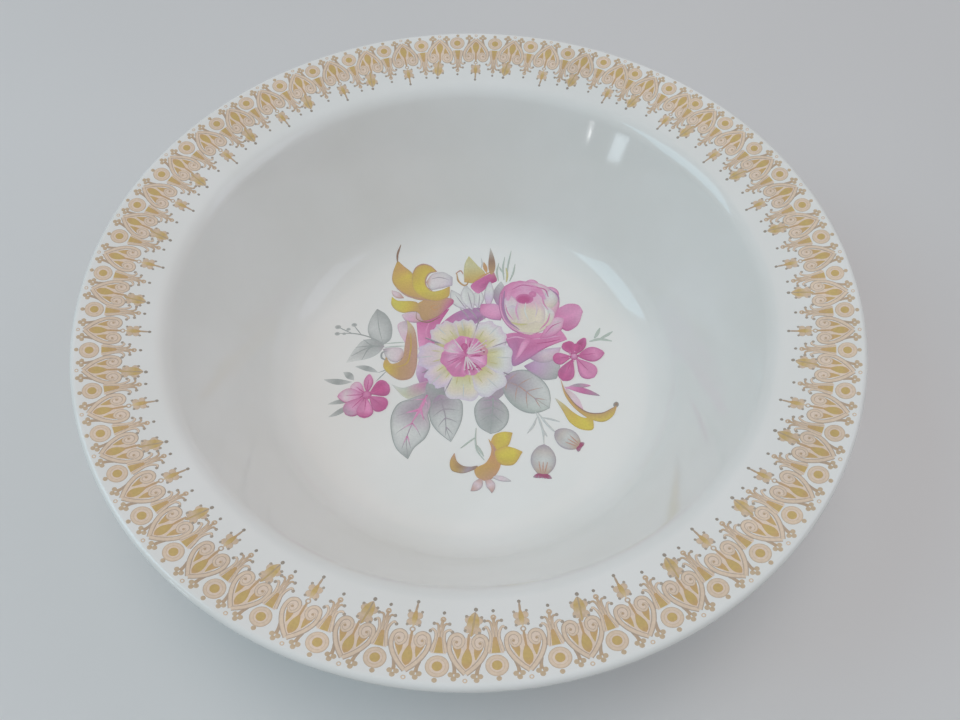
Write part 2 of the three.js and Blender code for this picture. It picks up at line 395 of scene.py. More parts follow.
class Print:
    """Flat coloured patches gathered into one thin raised mesh. A patch is a grid of flat points, a lift
    above the glaze at each point and a colour at each point; its edges dip under the glaze, so it has no
    open rim."""

    def __init__(self, layer_step, rng=None):
        self.flat, self.lift, self.colours, self.faces = [], [], [], []
        self.count = 0
        self.layer_step = layer_step
        self.rise = PRINT_RISE
        self.rng = rng

    def patch(self, flat, lift, colours):
        """Add a grid of points, its faces turned upwards, and raise the next patch by one layer."""
        rows, columns = flat.shape[:2]
        faces = grid_faces(rows, columns, wrap=False)
        quad = flat.reshape(-1, 2)[faces]
        first, second = quad[:, 2] - quad[:, 0], quad[:, 3] - quad[:, 1]
        if np.sum(first[:, 0] * second[:, 1] - first[:, 1] * second[:, 0]) < 0:
            faces = faces[:, ::-1]
        self.flat.append(flat.reshape(-1, 2))
        self.lift.append(np.broadcast_to(lift, (rows, columns)).ravel())
        self.colours.append(np.broadcast_to(colours, (rows, columns, 3)).reshape(-1, 3))
        self.faces.append(faces + self.count)
        self.count += rows * columns
        self.rise += self.layer_step

    def turn(self, angle, pivot):
        """Turn everything painted so far about the pivot."""
        pivot = np.asarray(pivot)
        turned = np.array([(cos(angle), sin(angle)), (-sin(angle), cos(angle))])
        self.flat = [(flat - pivot) @ turned + pivot for flat in self.flat]

    def streaked(self, colours, streak, strands, fade):
        """The colours made lighter and darker in strands along a petal, as strongly as streak, less where
        fade is low."""
        strength = blended(self.rng.normal(0, 1, strands), colours.shape[1])[None, :] * fade
        return np.clip(colours * (1 + streak * strength)[..., None], 0, 1)

    def arrays(self):
        """Everything painted so far, as one array each of flat points, lifts, colours and faces."""
        return [np.concatenate(parts) for parts in (self.flat, self.lift, self.colours, self.faces)]

    def band(self, points, widths, tones, edge=None, steps=None):
        """A band along a smooth path: point = path + s * half width * side, for s from -1 to 1 across it."""
        points = np.asarray(points, float)
        length = np.sum(np.linalg.norm(np.diff(points, axis=0), axis=1))
        count = steps or max(6, int(length / BAND_STEP))
        path = smooth(points, count)
        way = np.gradient(path, axis=0)
        way /= np.linalg.norm(way, axis=1)[:, None]
        side = np.stack([-way[:, 1], way[:, 0]], axis=-1)
        half = blended(widths, count) / 2
        across = np.array([-1, -0.7, 0.7, 1] if edge is None else [-1, -0.8, -0.45, 0.45, 0.8, 1])
        flat = path[:, None, :] + side[:, None, :] * half[:, None, None] * across[None, :, None]
        colours = np.repeat(seen(blended(tones, count))[:, None, :], len(across), axis=1)
        if edge is not None:
            colours = mix(colours, seen(edge), (np.abs(across) > 0.5) * np.ones((count, 1)))
        lift = np.where(np.abs(across) > 0.9, SUNK, self.rise)
        self.patch(flat, lift[None, :], colours)

    def ring(self, centre, radii, tones, steps=24, squash=1.0, tilt=0.0):
        """A disc or ring: point = centre + radius * (cos a, squash * sin a), turned by tilt."""
        angle = np.linspace(0, 2 * pi, steps + 1)
        radii = np.asarray(radii, float)
        x = radii[:, None] * np.cos(angle)[None, :]
        y = radii[:, None] * (squash * np.sin(angle))[None, :]
        flat = np.stack([x * cos(tilt) - y * sin(tilt), x * sin(tilt) + y * cos(tilt)], axis=-1)
        lift = np.full(len(radii), self.rise)
        lift[-1] = SUNK
        if radii[0] > 0:
            lift[0] = SUNK
        colours = seen(blended(tones, len(radii)))[:, None, :]
        self.patch(flat + np.asarray(centre, float), lift[:, None], colours)

    def blade(
        self, base, tip, width, tones, bend=0.0, widest=0.5, point=1.0, edge=None, streak=0.0, rows=18,
        columns=11
    ):
        """A petal or leaf: point = spine(t) + s * half width(t) * side. The half width is sin(pi
        t^k)^point, with k set so that it is widest at the chosen share of its length."""
        base, tip = np.asarray(base, float), np.asarray(tip, float)
        length = np.linalg.norm(tip - base)
        along = (tip - base) / length
        normal = np.array([-along[1], along[0]])
        t = np.linspace(0, 1, rows)
        s = np.sin(np.linspace(-pi / 2, pi / 2, columns))
        control = (base + tip) / 2 + 2 * bend * normal
        spine = ((1 - t) ** 2)[:, None] * base + (2 * t * (1 - t))[:, None] * control + (t**2)[:, None] * tip
        way = np.gradient(spine, axis=0)
        way /= np.linalg.norm(way, axis=1)[:, None]
        side = np.stack([-way[:, 1], way[:, 0]], axis=-1)
        power = np.log(0.5) / np.log(widest)
        half = width / 2 * np.maximum(np.sin(pi * np.clip(t, 1e-4, 1 - 1e-4) ** power), 0) ** point
        flat = spine[:, None, :] + side[:, None, :] * (half[:, None] * s[None, :])[..., None]
        colours = np.repeat(seen(blended(tones, rows))[:, None, :], columns, axis=1)
        if streak:
            colours = self.streaked(colours, streak, PETAL_STRANDS, np.sin(pi * t)[:, None])
        if edge is not None:
            nearness = np.maximum(np.abs(s)[None, :] ** 5, (t**14)[:, None])
            colours = mix(colours, seen(edge), 0.85 * nearness)
        lift = np.where((np.abs(s)[None, :] > 0.999) | (t[:, None] > 0.999), SUNK, self.rise)
        self.patch(flat, lift, colours)

    def sheet(self, left, right, tones, edge=None, streak=0.0, rows=26, columns=11):
        """A free petal or leaf between two smooth edge lines: point = left(t) + s * (right(t) - left(t)).
        The tones are rows from base to tip, each a list of colours from the left edge to the right edge."""
        t = np.linspace(0, 1, rows)[:, None]
        s = 0.5 - 0.5 * np.cos(np.linspace(0, pi, columns))[None, :]
        left, right = smooth(left, rows), smooth(right, rows)
        flat = left[:, None, :] + s[..., None] * (right - left)[:, None, :]
        across = np.array([blended(row, columns) for row in tones])
        colours = seen(blended(across, rows))
        if streak:
            colours = self.streaked(colours, streak, PETAL_STRANDS, np.sin(pi * t))
        if edge is not None:
            colours = mix(colours, seen(edge), 0.65 * np.maximum(np.abs(2 * s - 1) ** 6, t**14))
        rim = (np.abs(2 * s - 1) > 0.999) | (t > 0.999) | (t < 0.001)
        self.patch(flat, np.where(rim, SUNK, self.rise), colours)

    def fan(
        self, centre, turn, spread, reach, tones, start=0.2, corner=0.16, scallop=0.03, lobes=2, edge=None,
        streak=0.0, rows=14, columns=21
    ):
        """A broad petal: polar about its flower's centre, radius from start * reach out to an edge that is
        rounded at its corners by s^4 and waved by cos(2 pi lobes s); the angle spreads to each side of turn
        as s runs -1 to 1."""
        t = np.linspace(0, 1, rows)[:, None]
        s = np.sin(np.linspace(-pi / 2, pi / 2, columns))[None, :]
        rim = reach * (1 - corner * s**4 + scallop * (np.cos(2 * pi * lobes * s) - 1))
        radius = start * reach + t * (rim - start * reach)
        angle = radians(turn) + radians(spread) * s * (0.82 + 0.18 * np.sqrt(t))
        flat = np.asarray(centre, float) + np.stack([radius * np.cos(angle), radius * np.sin(angle)], axis=-1)
        colours = np.repeat(seen(blended(tones, rows))[:, None, :], columns, axis=1)
        if streak:
            colours = self.streaked(colours, streak, FAN_STRANDS, np.sin(pi * t))
        if edge is not None:
            colours = mix(colours, seen(edge), 0.8 * np.maximum(np.abs(s) ** 7, t**9))
        lift = np.where((np.abs(s) > 0.999) | (t > 0.999), SUNK, self.rise)
        self.patch(flat, lift, colours)


def print_material(name, roughness):
    """Fired print: its own painted colours, finely mottled, over a slightly uneven gloss."""
    material, nodes, links, shader = new_material(name)
    paint = nodes.new("ShaderNodeVertexColor")
    paint.layer_name = "paint"
    mottle = object_noise(nodes, links, 1400, 3)
    shade = nodes.new("ShaderNodeMixRGB")
    shade.blend_type = "MULTIPLY"
    shade.inputs["Fac"].default_value = 1
    links.new(paint.outputs["Color"], shade.inputs["Color1"])
    stops = [(0.3, (243, 243, 243)), (0.7, (255, 255, 255))]
    links.new(ramp(nodes, links, mottle, stops), shade.inputs["Color2"])
    links.new(shade.outputs["Color"], shader.inputs["Base Color"])
    links.new(spread(nodes, links, mottle, roughness - 0.05, roughness + 0.07), shader.inputs["Roughness"])
    return material


# ---------------------------------------------------------------- the gold lace border

# Border places are (u, v): u runs round the rim, measured at LACE_SCALE_RADIUS, and v runs down the slope
# towards the well from LACE_TOP_RADIUS.
LACE_TOP_RADIUS = 113.0
LACE_SCALE_RADIUS = 103.0

GROUND_DROP = 0.012

GROUND = (204, 186, 172)
BAND = (201, 182, 164)
BAND_EDGE = (162, 145, 131)
OLIVE_GOLD = (182, 157, 104)
BROWN_GOLD = (182, 149, 112)
RING_GOLD = (192, 171, 150)
DOT_GOLD = (158, 146, 134)
TIP_GOLD = (144, 135, 125)
STEM_GOLD = (175, 151, 126)
TREFOIL_GOLD = (180, 160, 136)


def ground(lace, shape, *places, **options):
    """A pale tint of the given shape, laid a little lower than the gold that goes over it."""
    lace.rise -= GROUND_DROP
    shape(*places, [GROUND], **options)
    lace.rise += GROUND_DROP


def dot(lace, place, radius, tone=DOT_GOLD):
    """A small round bead of gold."""
    lace.ring(place, [0, radius * 0.7, radius], [tone, tone], steps=10)


def trefoil(lace, place, size):
    """Three small lobes round a point, the middle one towards the lip."""
    for u, v in [(-0.62, 0.25), (0.62, 0.25), (0, -0.5)]:
        dot(lace, (place[0] + u * size, place[1] + v * size), 0.58 * size, TREFOIL_GOLD)


def heart(lace):
    """The heart with its ground, teardrop, side fills, curls, trefoils and apex mark, drawn upright at u =
    0."""
    lace.ring((0, 0.75), [0.2, 0.4, 0.6], [RING_GOLD, RING_GOLD], steps=12)
    ground(lace, lace.blade, (0, 2.4), (0, 11.2), 6.6, widest=0.62, point=0.8, rows=12, columns=7)
    for way in (-1, 1):
        trefoil(lace, (way * 2.35, 1.6), 1.15)
        stem = [(2.3, 2.1), (2.4, 3.2), (3.0, 4.7)]
        lace.band([(way * u, v) for u, v in stem], [1.0, 0.8, 0.4], [STEM_GOLD, BAND_EDGE])
        ground(lace, lace.ring, (way * 2.55, 9.8), [0, 1.0, 1.8], steps=16)
        fill = [(1.9, 5.6), (2.05, 7.0), (2.35, 8.6)]
        lace.band([(way * u, v) for u, v in fill], [0.2, 1.6, 2.4], [OLIVE_GOLD, BROWN_GOLD])
    drop = [BROWN_GOLD, OLIVE_GOLD, OLIVE_GOLD, BROWN_GOLD]
    lace.blade((0, 3.4), (0, 8.8), 2.5, drop, widest=0.38, rows=12, columns=7)
    lace.band([(0, 8.0), (0, 10.0), (0, 11.8)], [0.6, 0.8, 0.6], [BROWN_GOLD, STEM_GOLD])
    outline = [
        (0.05, 2.3), (1.7, 3.9), (3.2, 5.9), (4.1, 7.9), (4.25, 9.6), (3.75, 11.0), (2.6, 11.5), (1.5, 11.0),
        (1.1, 9.8), (1.5, 8.7), (2.5, 8.2), (3.25, 8.9), (3.1, 9.8), (2.6, 9.9),
    ]
    for way in (-1, 1):
        turned_over = [(way * u, v) for u, v in outline]
        lace.band(turned_over, [1.25, 1.3, 1.25, 1.15, 0.9, 0.55], [BAND], edge=BAND_EDGE, steps=64)
        dot(lace, (way * 2.65, 9.6), 0.45, STEM_GOLD)


def slim_finial(lace):
    """What hangs under the first kind of heart: a ring, four lobes round a centre stem, and a dark bead at
    its tip."""
    lace.ring((0, 12.2), [0.3, 0.5, 0.8], [RING_GOLD, BAND_EDGE], steps=14)
    for u, v in [(-0.95, 14.0), (0.95, 14.0), (-1.05, 15.7), (1.05, 15.7)]:
        lace.ring((u, v), [0, 0.75, 0.95], [RING_GOLD, RING_GOLD, BAND_EDGE], steps=12)
    lace.blade((0, 12.6), (0.05, 17.6), 1.5, [BAND, OLIVE_GOLD, BROWN_GOLD], rows=9, columns=7)
    lace.band([(0, 16.8), (0.1, 18.1), (0.15, 19.2)], [0.6, 0.7, 0.35], [STEM_GOLD, BAND_EDGE])
    for u, v in [(-1.5, 13.3), (1.4, 13.3), (-1.6, 16.7), (1.6, 16.7)]:
        dot(lace, (u, v), 0.42)
    dot(lace, (0.15, 19.3), 0.52, TIP_GOLD)


def full_finial(lace):
    """What hangs under the second kind of heart: a broad lobed golden leaf with beads at its edge and its
    tip."""
    for u, v in [(-0.3, 13.0), (1.9, 12.7), (-0.3, 15.4), (2.2, 15.3)]:
        lace.ring((u, v), [0, 0.85, 1.05], [RING_GOLD, RING_GOLD, BAND_EDGE], steps=12)
    leaf = [STEM_GOLD, RING_GOLD, OLIVE_GOLD, RING_GOLD]
    lace.blade((0.5, 11.0), (1.15, 17.6), 3.3, leaf, widest=0.55, point=0.8, rows=10, columns=7)
    lace.band([(0.6, 11.4), (0.9, 14.0), (1.2, 17.4)], [0.4, 0.8, 0.4], [OLIVE_GOLD, BAND_EDGE])
    for u, v in [(-0.9, 12.6), (2.4, 12.2), (-0.9, 16.2), (2.8, 16.1)]:
        dot(lace, (u, v), 0.46)
    dot(lace, (1.3, 18.1), 0.58, TIP_GOLD)


def medallion(lace, offset, v, outer, inner, bead):
    """The round medallion between two hearts: two gold rings round an olive disc on its ground, and a
    bead."""
    middle = (outer + inner) / 2
    ground(lace, lace.ring, (offset, v), [0, inner, middle], steps=24)
    radii = [inner - 0.2, inner, middle - 0.15, middle + 0.2, outer, outer + 0.2]
    lace.ring((offset, v), radii, [BAND_EDGE, RING_GOLD, BAND, BAND, RING_GOLD, BAND_EDGE], steps=32)
    lace.ring((offset, v), [0, 0.8, 1.1, 1.3], [OLIVE_GOLD, OLIVE_GOLD, BROWN_GOLD], steps=16)
    dot(lace, (offset + bead[0], bead[1]), 0.62, TREFOIL_GOLD)


def tree(lace, offset, curls, tips, knot, bead):
    """The tree under a medallion: a filled trunk between two bands that part into two tiers of curls with
    beads."""
    ground(lace, lace.band, [(offset, 6.9), (offset, 10), (offset, 13.2)], [3.8, 2.6, 1.8], steps=10)
    trunk = [(offset, 7.0), (offset, 9), (offset, 11.2)]
    lace.band(trunk, [2.7, 1.9, 0.9], [OLIVE_GOLD, BROWN_GOLD], steps=10)
    for way, curl, tip in zip((-1, 1), curls, tips):
        outer = [(1.65, 7.2), (1.3, 8.8), (0.95, 10.6), (1.2, 12.2), (0.8 * abs(curl[0]), curl[1] + 0.5)]
        outer = [(offset + way * u, v) for u, v in outer] + [(offset + curl[0], curl[1])]
        lace.band(outer, [0.95, 1.0, 0.9, 0.8, 0.7, 0.6], [BAND], edge=BAND_EDGE)
        inner = [(way * 0.35, 10.8), (way * 0.4, 12.6), (0.6 * tip[0], tip[1]), (tip[0], tip[1] - 0.1)]
        inner = [(offset + u, v) for u, v in inner]
        lace.band(inner, [0.75, 0.75, 0.65, 0.5], [BAND, STEM_GOLD], edge=BAND_EDGE)
        dot(lace, (offset + curl[0], curl[1]), 0.48)
        dot(lace, (offset + tip[0], tip[1]), 0.48)
    lace.band([(offset, 13.2), (offset + knot[0], knot[1])], [0.9, 0.7], [RING_GOLD, STEM_GOLD], steps=6)
    lace.ring((offset + knot[0], knot[1]), [0.2, 0.45, 0.8], [RING_GOLD, STEM_GOLD], steps=12)
    dot(lace, (offset + bead[0], bead[1]), 0.48, TIP_GOLD)


def lace_motif(kind):
    """One heart and the medallion and tree after it. The two kinds take turns round the rim."""
    lace = Print(LACE_LAYER)
    heart(lace)
    if kind == "upright":
        slim_finial(lace)
        offset = 6.6
        medallion(lace, offset, 3.9, 2.4, 1.7, (-0.3, 0.7))
        tree(lace, offset, [(-2.4, 12.3), (2.8, 12.2)], [(-1.7, 14.2), (2.0, 14.2)], (0.4, 15.3), (0.5, 17.0))
    else:
        full_finial(lace)
        lace.turn(radians(-4), (0, 7.0))
        offset = 6.3
        medallion(lace, offset, 4.1, 2.35, 1.55, (0.2, 1.1))
        tree(lace, offset, [(-2.5, 13.0), (2.7, 12.9)], [(-2.2, 15.0), (1.9, 14.9)], (0, 15.8), (0.1, 17.5))
    return lace.arrays()


def well_height(glaze_line, radius):
    """How high the glaze's upper surface stands at a distance from the bowl's axis."""
    well = glaze_line[np.argmax(glaze_line[:, 0]):][::-1]
    return np.interp(radius, well[:, 0], well[:, 1])


def on_rim(flat, lift, angle, glaze_line):
    """Border places on the sloping rim, lifted square to it: radius = top - v cos(slope), angle = start + u
    / scale."""
    turn = angle + flat[:, 0] / LACE_SCALE_RADIUS
    radius = LACE_TOP_RADIUS - flat[:, 1] * cos(RIM_SLOPE)
    height = well_height(glaze_line, radius) + lift * cos(RIM_SLOPE)
    radius = radius - lift * sin(RIM_SLOPE)
    return np.stack([radius * np.cos(turn), radius * np.sin(turn), height], axis=-1)


# Each strip: its node, the angle of its first heart, the angle from one pair of hearts to the next, the angle
# from the first heart of a pair to the second, and the number of pairs
LACE_STRIPS = [
    ("gold_lace_strip_1", 74.7, 14.45, 7.2, 12),
    ("gold_lace_strip_2", 248.5, 14.47, 7.2, 11),
    ("gold_lace_closing_strip", 46.25, 13.9, 7.4, 2),
]


def lace_border(glaze_line, gold):
    """The border's three strips, each a row of the two kinds of heart in turn."""
    motifs = [lace_motif("upright"), lace_motif("leaning")]
    rng = np.random.default_rng(LACE_SEED)
    for node, first, pitch, between, pairs in LACE_STRIPS:
        points, colours, faces, count = [], [], [], 0
        for step in range(2 * pairs):
            flat, lift, tones, quads = motifs[step % 2]
            angle = radians(first + pitch * (step // 2) + between * (step % 2) + rng.normal(0, 0.06))
            points.append(on_rim(flat, lift, angle, glaze_line))
            colours.append(tones * (1 + rng.normal(0, 0.025)))
            faces.append(quads + count)
            count += len(flat)
        name = node.replace("gold_lace", "lace_print")
        colours = np.clip(np.concatenate(colours), 0, 1)
        piece = make_piece(name, np.concatenate(points), np.concatenate(faces), gold, colours)
        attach(piece, "root")
        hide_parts(node)


# ---------------------------------------------------------------- the flower spray

# Spray places are (x, y) on the floor of the well. Colours are as they look on the glaze.
MAGENTA = (180, 107, 148)
DEEP_ROSE = (172, 88, 132)
ROSE = (195, 131, 167)
PALE_ROSE = (199, 151, 181)
BLUSH = (197, 182, 189)
LILAC = (189, 176, 195)
PURPLE = (156, 120, 154)
DUSKY = (152, 142, 152)
CREAM = (197, 188, 172)
PEARL = (195, 196, 195)
PALE_GREEN = (188, 186, 159)
STRAW = (182, 175, 133)
GREY_GREEN = (167, 175, 169)
GREY_LEAF = (181, 183, 183)
SLATE = (146, 150, 150)
YELLOW = (193, 178, 86)
LEMON = (186, 177, 97)
OCHRE = (181, 153, 94)
TAN = (174, 143, 110)
ROSY_TAN = (174, 140, 128)
ORANGE = (184, 143, 107)
UMBER = (142, 118, 104)
HIP = (177, 171, 168)
CRIMSON = (150, 84, 110)


# A leaf's side veins start from the midrib at every VEIN_SPACING of its RIB_PLACES places, from FIRST_VEIN on
RIB_PLACES = 40
FIRST_VEIN = 3
VEIN_SPACING = 8


def thread(spray, points, width, tone):
    """A thin painted line that fades out at both ends."""
    spray.band(points, [width * 0.4, width, width, width * 0.3], [tone])


def leaf(spray, left, right, rib, tones, vein, pairs=4):
    """A pale leaf between two edge lines, with a thin dark outline, a midrib, and side veins that run out and
    forwards from it."""
    spray.sheet(left, right, tones, edge=SLATE, streak=0.05)
    spray.band(rib, [0.9, 0.6, 0.2], vein)
    spine = smooth(rib, RIB_PLACES)
    for side in (left, right):
        margin = smooth(side, RIB_PLACES)
        thread(spray, side, 0.35, SLATE)
        for k in range(FIRST_VEIN, FIRST_VEIN + VEIN_SPACING * pairs, VEIN_SPACING):
            end = spine[k] + 0.8 * (margin[k + VEIN_SPACING] - spine[k])
            bow = 0.5 * (spine[k] + end) + 0.06 * (spine[k] - spine[k + VEIN_SPACING])
            spray.band([spine[k], bow, end], [0.6, 0.45, 0.12], vein, steps=7)


def pink_hollows(spray):
    """The shaded pink and purple ground that shows between the scrolls and the flowers."""
    left = [(-21, 22.5), (-20, 14), (-19, 6), (-20, -1), (-18, -6.5)]
    right = [(-8, 28), (-12, 20), (-13, 8), (-13, 0), (-13, -5)]
    tones = [[MAGENTA, DEEP_ROSE], [ROSE, MAGENTA], [PALE_ROSE, MAGENTA], [LILAC, PURPLE], [PURPLE, MAGENTA]]
    spray.sheet(left, right, tones, streak=0.08)
    thread(spray, [(-16, 21), (-17, 16), (-15, 12)], 1.0, ROSE)
    spray.blade((-12, 20), (9, 27), 8, [MAGENTA, PURPLE, PURPLE], streak=0.1)
    for x in (-2.5, 0.5, 3.5):
        thread(spray, [(x - 2, 27.5), (x, 25.4), (x + 1.6, 22.5)], 0.8, DUSKY)


def tall_scroll(spray):
    """The tall gold acanthus scroll at the upper left: an upright lobe under a dark spike, a leaf that
    curls over a white hollow, a low lobe, and a brown body that runs to a magenta tip."""
    spray.sheet(
        [(-26.5, 24.5), (-24, 25.8), (-21.5, 26), (-19, 24.5)],
        [(-26.5, 24.5), (-25, 22), (-22, 21), (-18, 21.5)],
        [[BLUSH], [BLUSH, PALE_ROSE], [BLUSH, ROSY_TAN]], edge=DUSKY, streak=0.04
    )
    spray.sheet(
        [(-20.5, 30), (-20, 25.5), (-18.5, 22), (-14, 23), (-9.5, 27), (-6.5, 30.5)],
        [(-20.5, 30), (-17, 32), (-13, 32.4), (-10, 32.6), (-7.5, 32), (-6.5, 30.5)],
        [[TAN, OCHRE], [TAN], [TAN], [ROSY_TAN, TAN], [MAGENTA, ROSY_TAN], [DEEP_ROSE]], streak=0.04
    )
    spray.sheet(
        [(-29.5, 50.5), (-31, 45), (-31, 40.5), (-29, 37), (-25.5, 34), (-22, 32), (-17, 31)],
        [(-29.5, 50.5), (-26.5, 47.6), (-23.5, 44.6), (-22, 40.5), (-20.5, 36), (-19, 33.5), (-17, 31)],
        [[OCHRE], [OCHRE, ORANGE], [OCHRE, YELLOW], [OCHRE, OCHRE], [TAN, OCHRE], [ROSY_TAN, TAN]],
        edge=TAN, streak=0.04
    )
    spray.sheet(
        [(-30.7, 33), (-30.7, 29.5), (-28.5, 26.5), (-26, 25.5), (-23, 26), (-21, 26), (-19.5, 24.5)],
        [(-30.7, 33), (-28.5, 31.2), (-26, 31), (-23, 31), (-21, 30.5), (-19.5, 27.5), (-19.5, 24.5)],
        [[YELLOW], [LEMON], [LEMON, YELLOW], [YELLOW, OCHRE], [OCHRE, TAN], [TAN]], edge=TAN, streak=0.04
    )
    spray.blade((-26, 32.4), (-31, 36), 2.6, [ROSY_TAN, BLUSH, BLUSH], bend=0.4, edge=ROSY_TAN)
    spray.sheet(
        [(-17.8, 40), (-15.5, 44), (-11.5, 45), (-7.5, 42.5)],
        [(-17.8, 40), (-16, 36.5), (-12, 37), (-7.5, 38.5)],
        [[ROSY_TAN], [BLUSH, PEARL], [PEARL, BLUSH], [GREY_LEAF, LILAC]], edge=DUSKY, streak=0.04
    )
    thread(spray, [(-15.6, 41.5), (-12.5, 42.2), (-9, 41)], 0.5, DUSKY)
    spray.sheet(
        [
            (-14, 45.2), (-16, 47.6), (-19, 48.6), (-21.7, 47.4), (-23.2, 44), (-23.4, 40), (-22, 35.5),
            (-18.5, 32.2), (-12.5, 31), (-9, 33), (-8.5, 38),
        ],
        [(-14, 45.2), (-16.5, 44.4), (-18, 41.5), (-17.6, 38), (-15.2, 35.6), (-12, 36.2), (-8.5, 38)],
        [[OCHRE], [OCHRE, YELLOW], [OCHRE, YELLOW], [YELLOW], [OCHRE, LEMON], [OCHRE, YELLOW], [OCHRE]],
        edge=TAN, rows=40, streak=0.04
    )
    thread(spray, [(-13.8, 45.2), (-16.5, 47.9), (-19.5, 48.8), (-22, 47.2), (-23.3, 44)], 0.6, ROSY_TAN)
    thread(spray, [(-13.8, 45.2), (-16.5, 44.4), (-18, 41.5), (-17.6, 38), (-15.2, 35.6)], 0.5, ROSY_TAN)
    thread(spray, [(-29, 37), (-25, 33.6), (-20, 32), (-14, 30.8)], 0.6, ROSY_TAN)
    thread(spray, [(-29.5, 49.5), (-29.6, 53), (-28.4, 57)], 0.8, UMBER)
    thread(spray, [(-21, 26), (-20.6, 22.6), (-16.5, 21.2), (-12, 23.5)], 0.5, UMBER)
    thread(spray, [(-13, 29), (-15.5, 28.2), (-14.4, 26.8), (-11.5, 28.2)], 0.6, ORANGE)


def left_crescent(spray):
    """The gold crescent beside the middle flower, which hooks round to the left at its foot over a white
    petal."""
    spray.sheet(
        [(-24.5, 22), (-27.5, 20.5), (-26.5, 15.5), (-24.5, 12)],
        [(-24.5, 22), (-23.5, 18), (-24, 15), (-24.5, 12)],
        [[BLUSH, DUSKY], [BLUSH], [BLUSH, PALE_ROSE]], edge=PALE_ROSE
    )
    spray.sheet(
        [(-32.5, 9.2), (-30, 9.8), (-25.5, 9.4), (-24.5, 6)],
        [(-32.5, 9.2), (-31, 5.5), (-27.5, 3.5), (-24.5, 6)],
        [[DUSKY], [BLUSH, PEARL], [BLUSH], [ROSY_TAN]], edge=DUSKY
    )
    spray.sheet(
        [
            (-24.5, 22.5), (-24, 18), (-24.5, 13.5), (-24.7, 9.5), (-25, 6), (-26.4, 3.8), (-29, 3),
            (-31.2, 6),
        ],
        [
            (-24.5, 22.5), (-21.5, 18.5), (-20.2, 13), (-19.8, 7), (-20, 1), (-21.5, -3), (-25, -4),
            (-29, -2), (-32, 2), (-31.2, 6),
        ],
        [
            [STRAW], [PALE_GREEN, ROSY_TAN], [TAN, ROSY_TAN], [ROSY_TAN], [TAN, ROSY_TAN], [TAN],
            [OCHRE, YELLOW], [OCHRE],
        ],
        edge=ROSY_TAN, rows=44, streak=0.04
    )
    thread(spray, [(-22.6, 16), (-22.4, 8), (-23.6, 3), (-28.5, 1)], 0.9, OCHRE)
    thread(spray, [(-30.8, 4.4), (-32.8, 5.6), (-32.6, 7.8), (-31, 8.2)], 0.7, SLATE)


def grey_leaves(spray):
    """The shaded grey leaves on the left with their twin stems and the budded sprig beyond them."""
    for y in (12, 10.4):
        thread(spray, [(-32, y - 0.4), (-28.5, y), (-24.4, y + 0.2)], 0.5, GREY_GREEN)
    spray.sheet(
        [(-32.5, 11), (-37, 13.5), (-38.8, 17.5), (-38.4, 22), (-36, 27.4)],
        [(-32.5, 11), (-30, 13.5), (-29.5, 17), (-30.4, 21.5), (-32.6, 25), (-36, 27.4)],
        [[SLATE], [SLATE, GREY_LEAF, SLATE], [GREY_LEAF, GREY_LEAF, SLATE], [GREY_LEAF, SLATE], [SLATE]],
        edge=SLATE, streak=0.06
    )
    thread(spray, [(-32.8, 12), (-34.5, 18), (-35.8, 26)], 0.4, SLATE)
    spray.sheet(
        [(-32, 10.6), (-36, 13.6), (-40, 13.2), (-42.8, 9.6), (-45.6, 3.4)],
        [(-32, 10.6), (-34, 7.4), (-38, 5), (-42, 4.2), (-45.6, 3.4)],
        [[SLATE, DUSKY], [SLATE, GREY_LEAF], [GREY_LEAF], [GREY_LEAF, PEARL], [PEARL]],
        streak=0.08
    )
    for tip in [(-40, 13.4), (-42.6, 10), (-44, 6.2), (-40, 4.6)]:
        thread(spray, [(-33, 10.6), (-37, 9.4 + 0.12 * tip[1]), tip], 0.6, SLATE)
    thread(spray, [(-33, 12), (-38, 14.6), (-43, 16), (-50, 16.2)], 0.5, SLATE)
    thread(spray, [(-41, 15.6), (-44, 19.6)], 0.4, SLATE)
    thread(spray, [(-44.5, 16.2), (-50, 19)], 0.4, SLATE)
    buds = [((-50, 19), 1.3), ((-44, 20), 1.2), ((-46, 18), 0.9), ((-50, 16), 1.1), ((-47.4, 16), 0.8)]
    for place, size in buds:
        spray.ring(place, [0, size * 0.6, size], [SLATE, GREY_LEAF], steps=12, squash=0.8)


def left_sprig(spray):
    """The narrow leaves and their stems behind the small flower on the left."""
    for base, tip, width, bend in [
        ((-42.5, -4.6), (-53, -3.6), 2.4, 0.5),
        ((-42.0, -4.0), (-46.2, -0.6), 2.6, -0.3),
        ((-33.5, -0.8), (-42.2, 1.8), 2.2, -0.5),
        ((-41, -12.2), (-50.6, -13.8), 1.8, -0.4),
        ((-42, -13.4), (-49.8, -18.8), 2.0, 0.4),
    ]:
        spray.blade(base, tip, width, [GREY_LEAF, SLATE, GREY_LEAF], bend=bend)
    thread(spray, [(-33.5, -0.8), (-30.5, 0.6), (-29.0, 1.6)], 0.4, SLATE)
    thread(spray, [(-30.5, 0), (-34.2, -4.5)], 0.4, SLATE)


